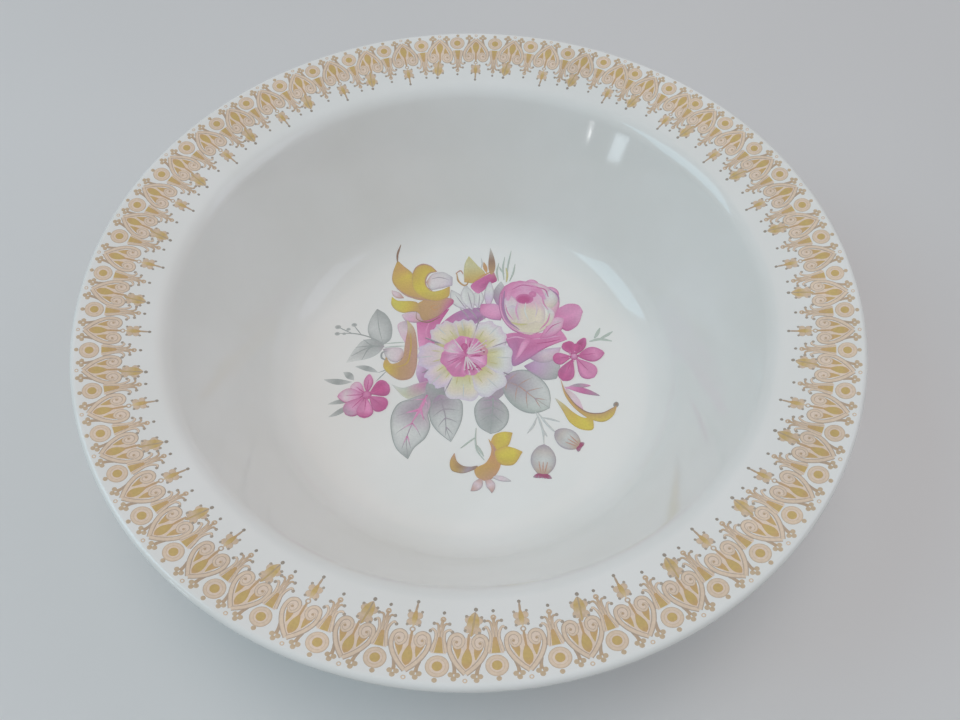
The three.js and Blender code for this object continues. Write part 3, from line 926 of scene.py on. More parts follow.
def lower_leaves(spray):
    """The veined grey leaves below the middle flower and the lilac leaves to its right."""
    spray.sheet(
        [(-13, -3.5), (-20, -5.4), (-24.5, -7), (-28.6, -5.6)],
        [(-13, -3.5), (-16, -9.6), (-22, -11.6), (-28.6, -5.6)],
        [[PURPLE], [MAGENTA, GREY_GREEN], [GREY_GREEN, PALE_GREEN], [PEARL, GREY_LEAF]], edge=GREY_LEAF,
        streak=0.06
    )
    spray.blade((-8, -3), (-15.5, -12.5), 10, [PURPLE, SLATE, DUSKY], streak=0.08)
    leaf(
        spray,
        [(-11, -9.5), (-13.6, -12), (-14.5, -15), (-14, -20), (-12, -23.5), (-9.5, -26), (-6.8, -28.2)],
        [(-11, -9.5), (-7.5, -10.6), (-3.5, -12.5), (-3, -16), (-3.5, -20.5), (-5, -24.5), (-6.8, -28.2)],
        [(-11, -11), (-9, -18), (-8.5, -23), (-6.9, -27.6)],
        [[PURPLE, DUSKY], [DUSKY, DUSKY, GREY_LEAF], [GREY_LEAF], [PEARL, GREY_LEAF], [GREY_LEAF]],
        [DUSKY, SLATE]
    )
    leaf(
        spray,
        [(-15.5, -9), (-21.5, -11.6), (-25.5, -13.5), (-27.6, -18), (-27.4, -24), (-25, -31), (-21.2, -34.6)],
        [(-15.5, -9), (-14, -13.5), (-15, -18), (-14.2, -22), (-15.6, -26.5), (-19.4, -30.6), (-21.2, -34.6)],
        [(-15.5, -10), (-18.4, -16), (-20.6, -22), (-22, -27), (-21.3, -33.6)],
        [
            [DUSKY], [GREY_LEAF, DUSKY, PALE_ROSE], [GREY_LEAF, DUSKY, BLUSH], [PEARL, GREY_LEAF],
            [GREY_LEAF], [SLATE],
        ],
        [MAGENTA, PALE_ROSE, DUSKY, SLATE]
    )
    for end in [(-22.5, -17), (-20.8, -21.5), (-16.4, -20)]:
        thread(spray, [(-15.8, -10.5), (-17.4, -15), end], 0.9, ROSE)
    spray.blade((8.5, -3), (7.5, -13), 8, [PURPLE, DUSKY, DUSKY], streak=0.08)
    leaf(
        spray,
        [(7.5, -10), (3.5, -11.5), (1.5, -14.5), (1.5, -18.5), (3, -22.5), (6.8, -25.2)],
        [(7.5, -10), (10.5, -12.5), (13, -16.5), (12.5, -21), (10, -24), (6.8, -25.2)],
        [(7.8, -11), (7.6, -16), (7, -21), (6.8, -24.8)],
        [[DUSKY, PURPLE], [GREY_LEAF, DUSKY, GREY_GREEN], [GREY_LEAF, SLATE, PEARL], [SLATE, GREY_LEAF]],
        [SLATE], pairs=3
    )
    spray.sheet(
        [(19, 2), (25, 5), (31.5, 5), (32, 0), (30.5, -3.4)], [(19, 2), (22, -1.6), (26, -3.8), (30.5, -3.4)],
        [[PURPLE], [LILAC, PURPLE], [GREY_LEAF, DUSKY], [SLATE]], edge=SLATE, streak=0.07
    )
    leaf(
        spray,
        [(11, -3), (15, -0.4), (19.5, 0.2), (24, -2.5), (27.5, -7.5), (28, -11.5), (27.5, -15.2)],
        [(11, -3), (11.5, -8.5), (14, -13), (17.5, -16), (21.5, -17.2), (24.5, -16.6), (27.5, -15.2)],
        [(11.6, -4), (17, -6.5), (21.5, -10.5), (27.2, -15)],
        [
            [PURPLE, DUSKY], [GREY_LEAF, DUSKY, GREY_GREEN], [PEARL, GREY_LEAF, GREY_GREEN],
            [PEARL, GREY_GREEN],
        ],
        [DUSKY, ROSY_TAN, SLATE]
    )
    spray.sheet(
        [(20, 6), (27.5, 9.4), (33, 10)], [(20, 6), (25.5, 3.2), (30.5, 4.6), (33, 10)],
        [[PURPLE], [LILAC, BLUSH, DUSKY], [LILAC, PALE_ROSE]], edge=DUSKY, streak=0.05
    )


def top_leaves(spray):
    """The yellow and magenta leaves, spikes and grasses above the middle flower."""
    for points in [
        [(10.4, 40.5), (9.8, 45), (10.6, 49.5)],
        [(12.5, 41), (12.2, 47), (13, 52.5)],
        [(13.4, 40.5), (14, 47), (15.6, 55.5)],
        [(14.6, 40.5), (16, 44), (17, 49)],
        [(12.6, 44), (11.2, 46.5), (10.8, 47.6)],
    ]:
        thread(spray, points, 0.75, GREY_GREEN)
    thread(spray, [(13.4, 40), (13.8, 44), (13.4, 47)], 0.9, STRAW)
    spray.blade((10, 28.5), (11.4, 40.5), 5.0, [PURPLE, DUSKY, GREY_LEAF], streak=0.08)
    for base, tip, width in [
        ((-2, 27), (-8, 36.4), 5.0),
        ((2.6, 27.6), (3.2, 36.8), 4.6),
        ((0.4, 26.6), (-2.4, 38.8), 5.6),
    ]:
        spray.blade(base, tip, width, [LILAC, PEARL, PEARL, GREY_LEAF], edge=DUSKY, streak=0.06, bend=0.5)
        thread(spray, [base, 0.3 * np.array(base) + 0.7 * np.array(tip)], 0.5, DUSKY)
    spray.sheet(
        [(-3, 40), (-3.2, 46), (-2.8, 49.5), (-1.3, 53)],
        [(-3, 40), (1, 39.6), (5.2, 44.2), (2, 48.5), (-1.3, 53)],
        [[ORANGE, OCHRE], [STRAW, OCHRE], [PALE_GREEN, STRAW], [STRAW]], edge=STRAW, streak=0.05
    )
    spray.sheet(
        [(2.4, 34), (-0.5, 38), (3.5, 42), (8.6, 45)],
        [(2.4, 34), (5, 36.5), (7, 39), (9.6, 40.5), (8.6, 45)],
        [[ROSE], [MAGENTA, MAGENTA], [MAGENTA, DEEP_ROSE], [MAGENTA, ROSY_TAN]], streak=0.08
    )
    thread(spray, [(0.4, 39.6), (4, 43), (7, 44.8)], 1.0, ORANGE)
    spray.blade((7.6, 43.5), (7.2, 57.4), 2.8, [TAN, UMBER, GREY_LEAF], widest=0.35, bend=-0.4)
    spray.blade((5.8, 44.5), (4.6, 50), 1.6, [ORANGE, TAN])
    thread(spray, [(3.4, 46), (4, 49.5), (3.6, 52)], 0.5, GREY_LEAF)
    spray.blade((6.2, 27.5), (7.1, 40.8), 3.8, [PALE_ROSE, LILAC, PEARL, LILAC], edge=DUSKY)
    thread(spray, [(-6.0, 44.4), (-5.0, 40.2), (-2.6, 38.4), (-0.8, 41.4)], 0.8, TAN)
    thread(spray, [(-6.4, 44.2), (-4.4, 45.6), (-3.4, 43.8)], 0.6, ROSY_TAN)
    spray.sheet(
        [(11, 22), (7, 22.6), (3.2, 25), (3.4, 29.6)], [(11, 22), (11.5, 26), (10.6, 28.8), (3.4, 29.6)],
        [[PURPLE, MAGENTA], [ROSE, PALE_ROSE], [ROSE, PALE_ROSE], [MAGENTA]], edge=PURPLE, streak=0.05
    )


def rose(spray):
    """The full rose: pink outer petals round a cream cup, a dark heart, and two broad petals on its right."""
    spray.sheet(
        [(12, 15.5), (14.5, 7.5), (15, 2), (21, 5), (27, 9.5), (35.5, 13.5)],
        [(12, 15.5), (16, 16.5), (22, 16), (29, 17), (33, 17.6), (35.5, 13.5)],
        [[MAGENTA, ROSE], [PURPLE, MAGENTA], [PURPLE, MAGENTA, ROSE], [MAGENTA, ROSE], [ROSE]],
        streak=0.07
    )
    spray.sheet(
        [(15, 3), (17, 8), (18.5, 12), (21, 15)], [(15, 3), (18, 6.5), (20.6, 10.5), (23, 14.5)],
        [[PURPLE], [ROSE, PALE_ROSE], [PALE_ROSE, ROSE], [MAGENTA]], edge=MAGENTA, streak=0.07
    )
    thread(spray, [(13.2, 13.6), (16.5, 14.4), (20, 13.6)], 0.9, PALE_ROSE)
    thread(spray, [(23, 13.5), (27.5, 14), (33, 15)], 0.8, PALE_ROSE)
    thread(spray, [(24, 11.5), (28.5, 12.2), (33, 13.4)], 0.6, DEEP_ROSE)
    spray.sheet(
        [(28, 23.5), (33.5, 28), (37, 29.8), (40.5, 29.2), (42.2, 26)],
        [(28, 23.5), (33, 19), (35.5, 17.2), (39, 19), (42.2, 26)],
        [[MAGENTA], [ROSE, MAGENTA], [PALE_ROSE, MAGENTA], [ROSE, PALE_ROSE], [PALE_ROSE]], edge=MAGENTA,
        streak=0.07
    )
    spray.sheet(
        [(25, 13.5), (28.5, 20), (31.5, 23.4), (35, 23)], [(25, 13.5), (30, 14.6), (33.4, 17.4), (35, 23)],
        [[MAGENTA], [ROSE, PALE_ROSE, MAGENTA], [PALE_ROSE, BLUSH, ROSE], [PALE_ROSE]], edge=MAGENTA,
        streak=0.07
    )
    thread(spray, [(27.5, 16), (30.4, 19.4), (33.6, 21)], 0.6, MAGENTA)
    for place, size in [((14.6, 36), 2.9), ((18.8, 38), 2.8), ((23.2, 38.6), 2.8), ((30.2, 34.4), 3.4)]:
        spray.ring(place, [0, 0.6 * size, 0.9 * size, size], [PALE_ROSE, PALE_ROSE, ROSE, MAGENTA], steps=26)
    spray.sheet(
        [(22, 15), (15.5, 17.4), (11.4, 23), (10.2, 30), (11.4, 36), (15, 39.6), (21, 40.4)],
        [(22, 15), (28, 18.5), (32, 25), (33.6, 31), (31.6, 35.6), (28, 38.4), (21, 40.4)],
        [
            [MAGENTA, CREAM, ROSE], [PURPLE, CREAM, CREAM, ROSE], [PURPLE, PALE_ROSE, CREAM, PALE_ROSE],
            [PURPLE, ROSE, PALE_ROSE, BLUSH, BLUSH], [ROSE, ROSE, PALE_ROSE, BLUSH, PALE_ROSE],
            [MAGENTA, ROSE],
        ],
        edge=MAGENTA, rows=34, columns=17, streak=0.07
    )
    spray.sheet(
        [(27, 27), (27.6, 31), (28.6, 35), (31, 36.6)], [(27, 27), (30.6, 27.6), (33, 31), (31, 36.6)],
        [[CREAM], [BLUSH, CREAM], [LILAC, PEARL, BLUSH], [BLUSH]], edge=DUSKY, streak=0.07
    )
    spray.sheet(
        [(13.6, 23), (11.8, 27), (12, 31), (14.4, 34.4)],
        [(13.6, 23), (17.4, 25), (18.2, 29.4), (14.4, 34.4)],
        [[LILAC], [BLUSH, PEARL, LILAC], [LILAC, BLUSH, BLUSH], [PALE_ROSE]], edge=PURPLE, streak=0.07
    )
    spray.band(
        [(13.6, 31), (15, 35), (20, 37.4), (25.4, 36), (28, 31.6)], [1.6, 3.6, 4.6, 4.0, 1.6],
        [PALE_ROSE, ROSE, PALE_ROSE, ROSE, PALE_ROSE], steps=34
    )
    spray.sheet(
        [(16, 20), (12.8, 23.6), (12.6, 27), (15.6, 29)], [(16, 20), (18.4, 22), (19, 26), (15.6, 29)],
        [[CREAM], [BLUSH, CREAM], [PEARL, BLUSH], [LILAC]], edge=DUSKY, streak=0.07
    )
    spray.sheet(
        [(22.6, 18), (25.6, 21), (27, 25), (25.6, 30.4)],
        [(22.6, 18), (29.6, 20), (31.4, 25.4), (25.6, 30.4)],
        [[CREAM], [STRAW, CREAM, CREAM], [CREAM, PEARL, BLUSH], [BLUSH]], edge=PALE_ROSE, streak=0.07
    )
    spray.sheet(
        [(20, 19), (17, 22), (16.8, 27), (17.4, 31.4)], [(20, 19), (27, 20.4), (28, 27), (25.8, 31.4)],
        [[CREAM], [BLUSH, CREAM, CREAM], [LILAC, CREAM, CREAM, BLUSH], [PALE_ROSE]], edge=BLUSH, streak=0.07
    )
    spray.sheet(
        [(14.2, 21), (19, 20.2), (24.6, 21.8)], [(14.2, 21), (20, 15.6), (28, 19), (24.6, 21.8)],
        [[BLUSH], [STRAW, CREAM, PALE_GREEN], [CREAM, CREAM, PALE_GREEN], [CREAM]], edge=BLUSH, streak=0.07
    )
    spray.ring((20.2, 31.8), [0, 2.2, 3.4, 4.6], [DEEP_ROSE, MAGENTA, ROSE], steps=28, squash=0.7)
    spray.ring((23.4, 34), [0, 0.8, 1.5, 2.0], [ROSE, MAGENTA, PALE_ROSE], steps=16)
    spray.ring((19.8, 31.5), [0, 1.7, 2.4, 2.9], [DEEP_ROSE, DEEP_ROSE, MAGENTA], steps=22, squash=0.7)
    for points, width, tone in [
        ([(14.4, 21.0), (18, 20), (21, 20.2)], 1.2, STRAW),
        ([(20.6, 30), (20.2, 26), (21.4, 22)], 0.8, PEARL),
        ([(24.2, 30.2), (24.8, 27), (24, 23.4)], 0.8, BLUSH),
        ([(17.6, 30.4), (16.8, 26), (17.8, 22)], 0.9, PALE_ROSE),
        ([(12.8, 29), (13.6, 25.4), (15.6, 22)], 0.7, ROSE),
        ([(27, 33), (27.4, 30), (29, 26.6)], 0.7, ROSE),
        ([(30, 36.6), (33, 33.4), (33.4, 30)], 0.8, PURPLE),
        ([(15.4, 36.2), (19.6, 38.4), (24, 37.6)], 0.7, MAGENTA),
        ([(25, 37.4), (28.2, 36.2), (29.4, 32.6)], 0.8, MAGENTA),
        ([(29.6, 25), (28.6, 21.6), (25.4, 17.6)], 0.8, ROSE),
        ([(12.6, 35.6), (12, 28), (13.6, 22), (17.8, 17.6)], 1.3, PURPLE),
        ([(11.2, 34), (10.9, 28), (13, 21), (17.6, 16.8), (24, 16)], 0.7, PALE_ROSE),
    ]:
        thread(spray, points, width, tone)


def polar(centre, turn, reach):
    """The place at this distance from the centre, in this direction in degrees."""
    return np.array(centre) + reach * np.array([cos(radians(turn)), sin(radians(turn))])


# Each petal of the cream flower: its direction and half spread in degrees, its reach, the lobes of its edge,
# and its tones from the middle outwards
CREAM_PETALS = [
    (94, 23, 16.4, 2, [TAN, STRAW, STRAW, CREAM, PEARL]),
    (-95, 26, 18.4, 1, [ROSY_TAN, STRAW, PALE_GREEN, CREAM, PEARL]),
    (181, 24, 18.2, 2, [ROSY_TAN, CREAM, BLUSH, BLUSH, LILAC]),
    (-138, 22, 18.0, 2, [ROSY_TAN, STRAW, CREAM, BLUSH, LILAC]),
    (129, 24, 17.8, 2, [ROSY_TAN, STRAW, CREAM, CREAM, BLUSH]),
    (-53, 25, 18.8, 1, [TAN, STRAW, CREAM, PEARL, PEARL]),
    (44, 29, 18.4, 2, [TAN, STRAW, CREAM, PEARL, BLUSH]),
    (-7, 28, 17.2, 1, [ROSY_TAN, STRAW, PALE_GREEN, PEARL, PEARL]),
]
# Each fold on a cream petal: how far from its midline, from which share of its reach to which, and its tone
CREAM_FOLDS = [
    (0.05, 0.66, 0.96, GREY_LEAF),
    (0.95, 0.6, 0.95, DUSKY),
    (-0.45, 0.52, 0.7, STRAW),
    (0.45, 0.5, 0.68, STRAW),
]
# How deep a petal's edge is scalloped: one lobe is notched in its middle, and two lobes part a raised middle
SCALLOPS = {1: -0.025, 2: 0.03}
# Each petal of the pink heart: its direction and half spread in degrees, its reach, and its tones
HEART_PETALS = [
    (104, 27, 9.2, [DEEP_ROSE, MAGENTA, ROSE]),
    (60, 26, 8.8, [MAGENTA, ROSE, MAGENTA]),
    (150, 30, 9.6, [MAGENTA, PALE_ROSE, BLUSH, ROSE]),
    (197, 28, 10.4, [MAGENTA, PALE_ROSE, MAGENTA]),
    (243, 28, 10.8, [DEEP_ROSE, ROSE, MAGENTA]),
    (290, 26, 9.8, [DEEP_ROSE, MAGENTA, ROSE]),
    (14, 28, 9.0, [MAGENTA, ROSE, ROSY_TAN]),
    (331, 30, 9.2, [ROSE, PALE_ROSE, PALE_ROSE, MAGENTA]),
]
# Each stamen: its direction in degrees and its reach
STAMENS = [
    (52, 7.4), (40, 9.6), (30, 8.4), (16, 6.8), (64, 5.0), (-68, 6.4), (-56, 8.4), (-80, 8.2), (-94, 6.2),
]


def cream_flower(spray):
    """The open cream flower in the middle: rounded petals round a streaked pink heart with pale stamens."""
    middle = (-2, 6.5)
    spray.ring(middle, [0, 10, 13.4], [MAGENTA, STRAW, DUSKY], steps=30)
    for turn, spread, reach, lobes, tones in CREAM_PETALS:
        edge_wave = {"lobes": lobes, "scallop": SCALLOPS[lobes], "corner": 0.2}
        spray.fan(middle, turn, spread, reach, tones, edge=LILAC, streak=0.05, start=0.3, **edge_wave)
        for fold, near, far, tone in CREAM_FOLDS:
            crease = turn + spread * fold
            line = [polar(middle, crease, near * reach), polar(middle, crease + 1.5, far * reach)]
            thread(spray, line, 0.6, tone)
    for turn, spread, reach, tones in HEART_PETALS:
        spray.fan(middle, turn, spread, reach, tones, start=0.05, edge=ROSE, streak=0.12, lobes=1)
    for turn in spray.rng.permutation(np.arange(0, 360, 20)):
        tone = [PALE_ROSE, MAGENTA, DEEP_ROSE, BLUSH][int(spray.rng.integers(4))]
        bent = turn + spray.rng.uniform(-14, 14)
        near = spray.rng.uniform(1.5, 3.5)
        far = spray.rng.uniform(5.0, 9.0)
        halfway = polar(middle, bent, 0.5 * (near + far))
        thread(spray, [polar(middle, turn, near), halfway, polar(middle, bent, far)], 0.8, tone)
    spray.ring((-2.6, 10), [0, 1.2, 2.2], [MAGENTA, DEEP_ROSE, PALE_ROSE], steps=16, squash=1.3)
    for turn, reach in STAMENS:
        end = polar(middle, turn, reach)
        thread(spray, [polar(middle, turn, 0.8), end], 0.8, BLUSH)
        spray.ring(end, [0, 0.4, 0.75], [BLUSH, PALE_ROSE], steps=8)
    for place in [(3.5, 8.6), (4.6, 7.8), (2.0, 1.2), (0.8, 0.4), (-0.8, 0.2)]:
        spray.ring(place, [0, 0.35, 0.6], [CRIMSON], steps=8)


def lower_scroll(spray):
    """The small gold scroll at the bottom: an orange body, two yellow leaves, a hook and drooping
    leaflets."""
    thread(spray, [(1.8, -23.0), (1.6, -27.5), (2.2, -31.5), (4.6, -35)], 0.6, GREY_GREEN)
    thread(spray, [(1.8, -26.4), (-0.6, -28.2), (-3.4, -30.6)], 0.6, GREY_GREEN)
    thread(spray, [(2.2, -29.6), (4.4, -33.6)], 0.9, GREY_GREEN)
    for base, tip, width, bend, tone in [
        ((3.6, -41.2), (0, -46), 3.2, 0.6, ROSY_TAN),
        ((4.6, -41.6), (7, -46.8), 3.0, 0.9, ROSY_TAN),
        ((6.6, -41.0), (13.6, -42.6), 1.8, 0.2, GREY_LEAF),
    ]:
        spray.blade(base, tip, width, [tone, BLUSH, tone], bend=bend, edge=DUSKY)
    spray.sheet(
        [(6.5, -29), (8, -25.6), (11, -24.4), (14.4, -24.8)],
        [(6.5, -29), (9, -31.4), (12.4, -30), (14.4, -24.8)],
        [[ORANGE], [OCHRE, YELLOW], [YELLOW, YELLOW, OCHRE], [OCHRE]], edge=OCHRE, streak=0.04
    )
    spray.sheet(
        [(6, -27), (7, -31.5), (5, -36), (1.2, -38.4), (2, -41), (4.5, -42.4)],
        [(6, -27), (9, -31.5), (10.2, -36), (9, -39.5), (6.5, -42), (4.5, -42.4)],
        [[OCHRE], [ORANGE, ROSY_TAN], [ORANGE, ORANGE], [OCHRE, ORANGE], [OCHRE, ROSY_TAN], [ROSY_TAN]],
        edge=ORANGE, streak=0.04
    )
    spray.sheet(
        [(7.8, -32), (11.5, -29.8), (14.5, -30.4), (17.6, -32)],
        [(7.8, -32), (9.5, -36.2), (14, -36.8), (17.6, -32)],
        [[OCHRE], [OCHRE, YELLOW, OCHRE], [YELLOW, YELLOW, OCHRE], [OCHRE]], edge=OCHRE, streak=0.04
    )
    thread(spray, [(6.6, -28.5), (8, -31), (7.8, -33.5)], 0.5, ROSY_TAN)
    spray.sheet(
        [(-5.5, -32.3), (-7, -35.5), (-6.5, -38.5), (-3.5, -39.7), (2.4, -38)],
        [(-5.5, -32.3), (-4.5, -35.5), (-2.6, -37), (0, -37.4), (2.4, -37)],
        [[ROSY_TAN], [OCHRE, TAN], [OCHRE, UMBER], [DUSKY], [UMBER]], edge=UMBER, streak=0.04
    )


def rose_hips(spray):
    """Two grey rose hips with small crimson crowns on forked stems; crown is a crown's share of full size."""
    for points in [
        [(22.5, -16.5), (23.6, -19.4), (24.8, -24), (25, -29)],
        [(23.4, -17), (26.4, -21.5), (29.4, -25)],
        [(25, -19), (28, -19.6), (30.8, -20.6)],
        [(22.9, -19), (21.6, -22), (19.4, -25)],
        [(24.4, -23.0), (26.2, -26.2)],
    ]:
        thread(spray, points, 0.8, GREY_LEAF)
    skin = [DUSKY, HIP, GREY_LEAF, HIP, TAN]
    for base, tip, width, crown in [
        ((25, -29.2), (24, -40.6), 8.6, 1),
        ((29, -24.2), (37.2, -30), 7.6, 2.2 / 3.4),
    ]:
        spray.blade(base, tip, width, skin, point=0.55, edge=DUSKY, streak=0.06)
        tip = np.array(tip)
        way = (tip - base) / np.linalg.norm(tip - base)
        side = np.array([-way[1], way[0]])
        for spot in (-0.5, 0.0, 0.5):
            thread(spray, [tip - 5 * way + 3 * spot * side, tip - 0.4 * way + spot * side], 0.6, ROSY_TAN)
        for spot in (-3.2, -1.6, 0, 1.6, 3.2):
            end = tip + crown * ((0.96 - 0.06 * abs(spot)) * way + spot * side)
            spray.blade(tip - 0.5 * way, end, 1.5, [CRIMSON, CRIMSON, DUSKY])


def right_crescent(spray):
    """The yellow crescent at the lower right with its orange upper edge and two slender pink leaves."""
    spray.sheet(
        [(32.5, -7), (36, -9), (38, -11.6), (39.4, -16)],
        [(32.5, -7), (33.6, -10), (36.4, -13.4), (39.4, -16)],
        [[BLUSH, ROSY_TAN], [BLUSH], [BLUSH, PALE_ROSE]], edge=PALE_ROSE
    )
    spray.sheet(
        [(29.5, -11), (32, -16), (34.5, -21), (37.8, -23.4), (42, -23.6), (42.4, -18.4)],
        [(29.5, -11), (33, -14), (36, -17), (39.5, -19), (42.4, -18.4)],
        [[GREY_LEAF], [OCHRE, STRAW], [YELLOW, OCHRE], [YELLOW], [OCHRE]], edge=OCHRE, streak=0.04
    )
    spray.sheet(
        [(32, -3.5), (33.4, -10.5), (37, -16), (41, -19.2), (46, -20.6), (49.6, -18.2), (51.4, -14)],
        [(32, -3.5), (34.2, -10), (37.4, -14.5), (41, -17.2), (45.5, -17.4), (49, -15.6), (51.4, -14)],
        [[ROSY_TAN], [OCHRE, ROSY_TAN], [OCHRE, ORANGE], [OCHRE, TAN], [YELLOW, TAN], [YELLOW, TAN], [TAN]],
        edge=TAN, rows=34, streak=0.04
    )
    thread(spray, [(33.4, -8.6), (37.2, -14.4), (41, -17.1), (45.5, -17.3), (50.4, -14.8)], 0.6, UMBER)
    spray.ring((51, -13.8), [0, 0.6, 1.0], [UMBER, SLATE], steps=10, squash=1.3, tilt=-0.5)
    spray.blade((33.4, -7.6), (42.8, -6.2), 2.0, [PALE_ROSE, DUSKY, ROSE], bend=0.5)
    spray.blade((33.2, -6.8), (45.8, -10.4), 2.2, [PALE_ROSE, MAGENTA, DUSKY], bend=0.4)


def right_sprig(spray):
    """The faint sprig beyond the small flower on the right."""
    for points, width in [
        ([(43.6, 12.6), (47.5, 13.6), (52.0, 12.8)], 1.2),
        ([(45.6, 14.0), (46.8, 16.0), (48, 18.6)], 1.4),
        ([(47.6, 13.8), (50, 15.2), (52.6, 17)], 1.2),
    ]:
        thread(spray, points, width, GREY_GREEN)


def pointed_petal(spray, centre, tip, width, tones, blunt):
    """A small petal from the flower's centre to its tip; a blunt one is broad near its tip."""
    widest, point = (0.68, 0.6) if blunt else (0.55, 0.85)
    centre, tip = np.array(centre, float), np.array(tip, float)
    base = centre + 0.1 * (tip - centre)
    spray.blade(base, tip, width, tones, widest=widest, point=point, edge=MAGENTA, streak=0.1)
    thread(spray, [base, centre + 0.7 * (tip - centre)], 0.4, DEEP_ROSE)


def small_flowers(spray):
    """The two small pink flowers: each petal is (tip, width, tones, blunt)."""
    left = [
        ((-36.6, -1.4), 3.4, [MAGENTA, ROSE, ROSE], False),
        ((-42.6, -5.6), 4.4, [MAGENTA, PALE_ROSE, BLUSH], True),
        ((-47.4, -10.6), 6.0, [MAGENTA, PALE_ROSE, BLUSH, PALE_ROSE], False),
        ((-43.8, -17.8), 6.4, [MAGENTA, ROSE, PALE_ROSE, DUSKY], True),
        ((-37.2, -19.2), 6.0, [MAGENTA, ROSE, ROSE, DEEP_ROSE], True),
        ((-29.8, -15.4), 6.2, [MAGENTA, MAGENTA, DEEP_ROSE], True),
        ((-29.2, -6.0), 6.8, [MAGENTA, DEEP_ROSE, DEEP_ROSE, MAGENTA], True),
    ]
    for tip, width, tones, blunt in left:
        pointed_petal(spray, (-37, -10), tip, width, tones, blunt)
    spray.ring((-37, -10), [0, 1.0, 1.8], [ROSE, MAGENTA], steps=14)
    right = [
        ((42.2, 14.2), 3.6, [DEEP_ROSE, DEEP_ROSE, MAGENTA], False),
        ((34.8, 12.4), 5.0, [MAGENTA, DEEP_ROSE, DEEP_ROSE], True),
        ((39.2, 11.4), 3.8, [MAGENTA, DEEP_ROSE, DEEP_ROSE], True),
        ((29.6, 4.6), 5.0, [DEEP_ROSE, MAGENTA, DEEP_ROSE], True),
        ((32.8, -4.2), 6.0, [DEEP_ROSE, MAGENTA, DEEP_ROSE], True),
        ((44.2, -2.8), 7.0, [MAGENTA, ROSE, ROSE], True),
        ((48.8, 7.6), 6.2, [DEEP_ROSE, MAGENTA, ROSE, MAGENTA], False),
    ]
    for tip, width, tones, blunt in right:
        pointed_petal(spray, (37.5, 6), tip, width, tones, blunt)
    spray.ring((37.5, 6), [0, 0.9, 1.5], [PALE_ROSE, MAGENTA], steps=14)
    for turn in range(20, 380, 60):
        spray.ring(polar((37.5, 6), turn, 1.9), [0, 0.25, 0.4], [PALE_ROSE], steps=8)


def flower_spray(glaze_line, enamel):
    """The whole spray, painted from back to front, then laid on the floor of the well."""
    spray = Print(SPRAY_LAYER, np.random.default_rng(SPRAY_SEED))
    pink_hollows(spray)
    left_sprig(spray)
    right_sprig(spray)
    grey_leaves(spray)
    lower_leaves(spray)
    top_leaves(spray)
    tall_scroll(spray)
    left_crescent(spray)
    rose_hips(spray)
    right_crescent(spray)
    lower_scroll(spray)
    rose(spray)
    cream_flower(spray)
    small_flowers(spray)

    flat, lift, colours, faces = spray.arrays()
    height = well_height(glaze_line, np.hypot(flat[:, 0], flat[:, 1]))
    points = np.column_stack([flat, height + lift])
    piece = make_piece("painted_spray", points, faces, enamel, colours)
    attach(piece, "root")
    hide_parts("flower_transfer")


# ---------------------------------------------------------------- stage, lights and camera

# These are in metres, and colours are red, green and blue in linear light
TABLE_HALF = 5.0
BOWL_MIDDLE = (0, 0, 0.03)
FAR_WALL = (0.052, 0.066, 0.045)
SKY_COLOUR = (0.90, 0.94, 1.0, 1)
SKY_STRENGTH = 0.255
CAMERA_PLACE = (0.00315, -0.1377, 0.2421)
CAMERA_AIM = (0.00315, -0.03022, 0.066)
CAMERA_LENS = 28.1
CAMERA_NEAREST = 0.005

# Each light: its name, its place, what it is turned towards, its width, height, power and colour, and whether
# the gloss shows an image of it
LIGHTS = [
    ("softbox_overhead", (0, -0.05, 1.5), BOWL_MIDDLE, 0.8, 0.8, 7.05, (1.0, 0.98, 0.98), False),
    ("window_left", (-1.0, 0.0, 0.95), BOWL_MIDDLE, 0.7, 0.7, 3.5, (0.48, 0.82, 1.0), True),
    ("window_right", (1.0, 0.0, 0.95), BOWL_MIDDLE, 0.7, 0.7, 1.3, (0.70, 0.80, 1.0), True),
    ("warm_far", (0, 1.0, 1.2), BOWL_MIDDLE, 1.6, 1.0, 1.6, (1.0, 0.60, 0.45), True),
    ("door_gap", (-0.602, -0.384, 0.128), FAR_WALL, 0.06, 0.12, 0.11, (0.78, 0.92, 1.0), True),
    ("lamp_upper", (-0.47, -0.456, 0.198), FAR_WALL, 0.012, 0.008, 0.007, (1.0, 1.0, 1.0), True),
    ("lamp_lower", (-0.47, -0.456, 0.168), FAR_WALL, 0.012, 0.008, 0.007, (1.0, 1.0, 1.0), True),
]


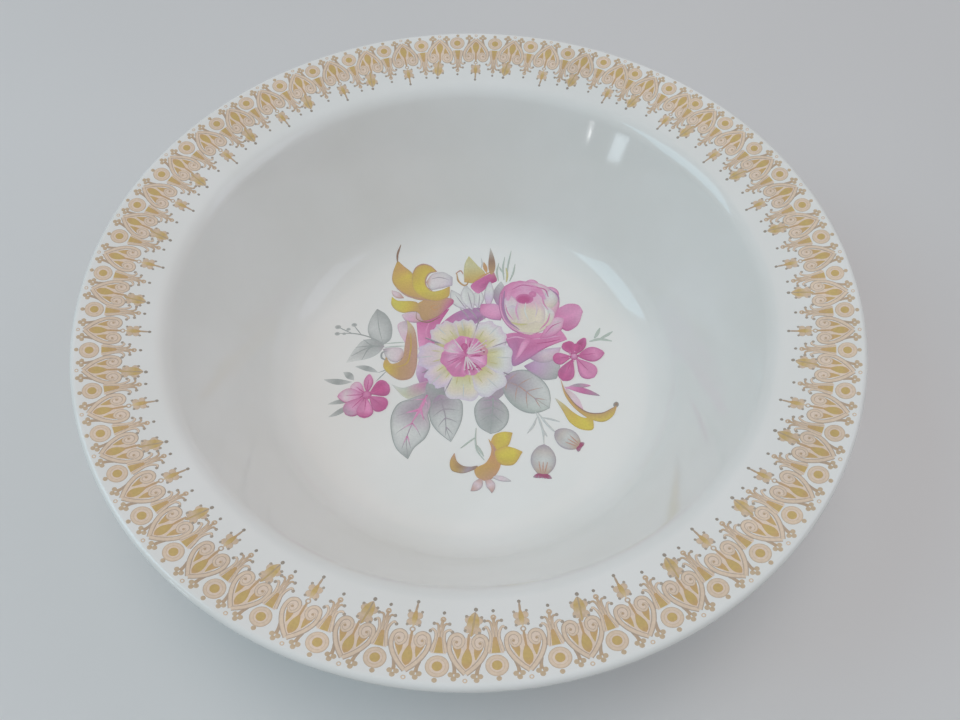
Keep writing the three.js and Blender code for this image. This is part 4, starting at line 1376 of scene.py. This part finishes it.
def stage_table():
    """A plain pale table top under the bowl, wide enough to fill every view."""
    material, nodes, links, shader = new_material("table")
    drift = object_noise(nodes, links, 3, 2)
    tint = ramp(nodes, links, drift, [(0.3, (222, 221, 219)), (0.7, (228, 227, 225))])
    links.new(tint, shader.inputs["Base Color"])
    shader.inputs["Roughness"].default_value = 0.6
    mesh = bpy.data.meshes.new("table")
    table_corners = [(x * TABLE_HALF, y * TABLE_HALF, 0) for x, y in [(-1, -1), (1, -1), (1, 1), (-1, 1)]]
    mesh.from_pydata(table_corners, [], [(0, 1, 2, 3)])
    mesh.materials.append(material)
    table = bpy.data.objects.new("table", mesh)
    bpy.context.scene.collection.objects.link(table)


def add_area_light(name, place, target, width, height, power, colour, mirrored):
    """A flat soft light at place, turned towards target. Gloss shows no image of it unless it is mirrored."""
    lamp = bpy.data.lights.new(name, "AREA")
    lamp.shape = "RECTANGLE"
    lamp.size = width
    lamp.size_y = height
    lamp.energy = power
    lamp.color = colour
    light = bpy.data.objects.new(name, lamp)
    light.location = place
    light.rotation_euler = (Vector(target) - Vector(place)).to_track_quat("-Z", "Y").to_euler()
    light.visible_glossy = mirrored
    bpy.context.scene.collection.objects.link(light)


def light_scene():
    """Soft daylight from all round, and the lights in LIGHTS."""
    world = bpy.data.worlds.new("daylight")
    world.use_nodes = True
    background = world.node_tree.nodes["Background"]
    background.inputs["Color"].default_value = SKY_COLOUR
    background.inputs["Strength"].default_value = SKY_STRENGTH
    bpy.context.scene.world = world
    for light in LIGHTS:
        add_area_light(*light)


def add_camera():
    """A camera that looks down into the well."""
    lens = bpy.data.cameras.new("camera")
    lens.lens = CAMERA_LENS
    lens.clip_start = CAMERA_NEAREST
    camera = bpy.data.objects.new("camera", lens)
    camera.location = CAMERA_PLACE
    way = Vector(CAMERA_AIM) - Vector(CAMERA_PLACE)
    camera.rotation_euler = way.to_track_quat("-Z", "Y").to_euler()
    bpy.context.scene.collection.objects.link(camera)
    bpy.context.scene.camera = camera
    bpy.context.scene.view_settings.view_transform = "Standard"


corners = section_corners()
glaze_line = porcelain(corners, clay_material(), glaze_material())
lace_border(glaze_line, print_material("gold_print", 0.30))
flower_spray(glaze_line, print_material("flower_enamel", 0.16))
stage_table()
light_scene()
add_camera()
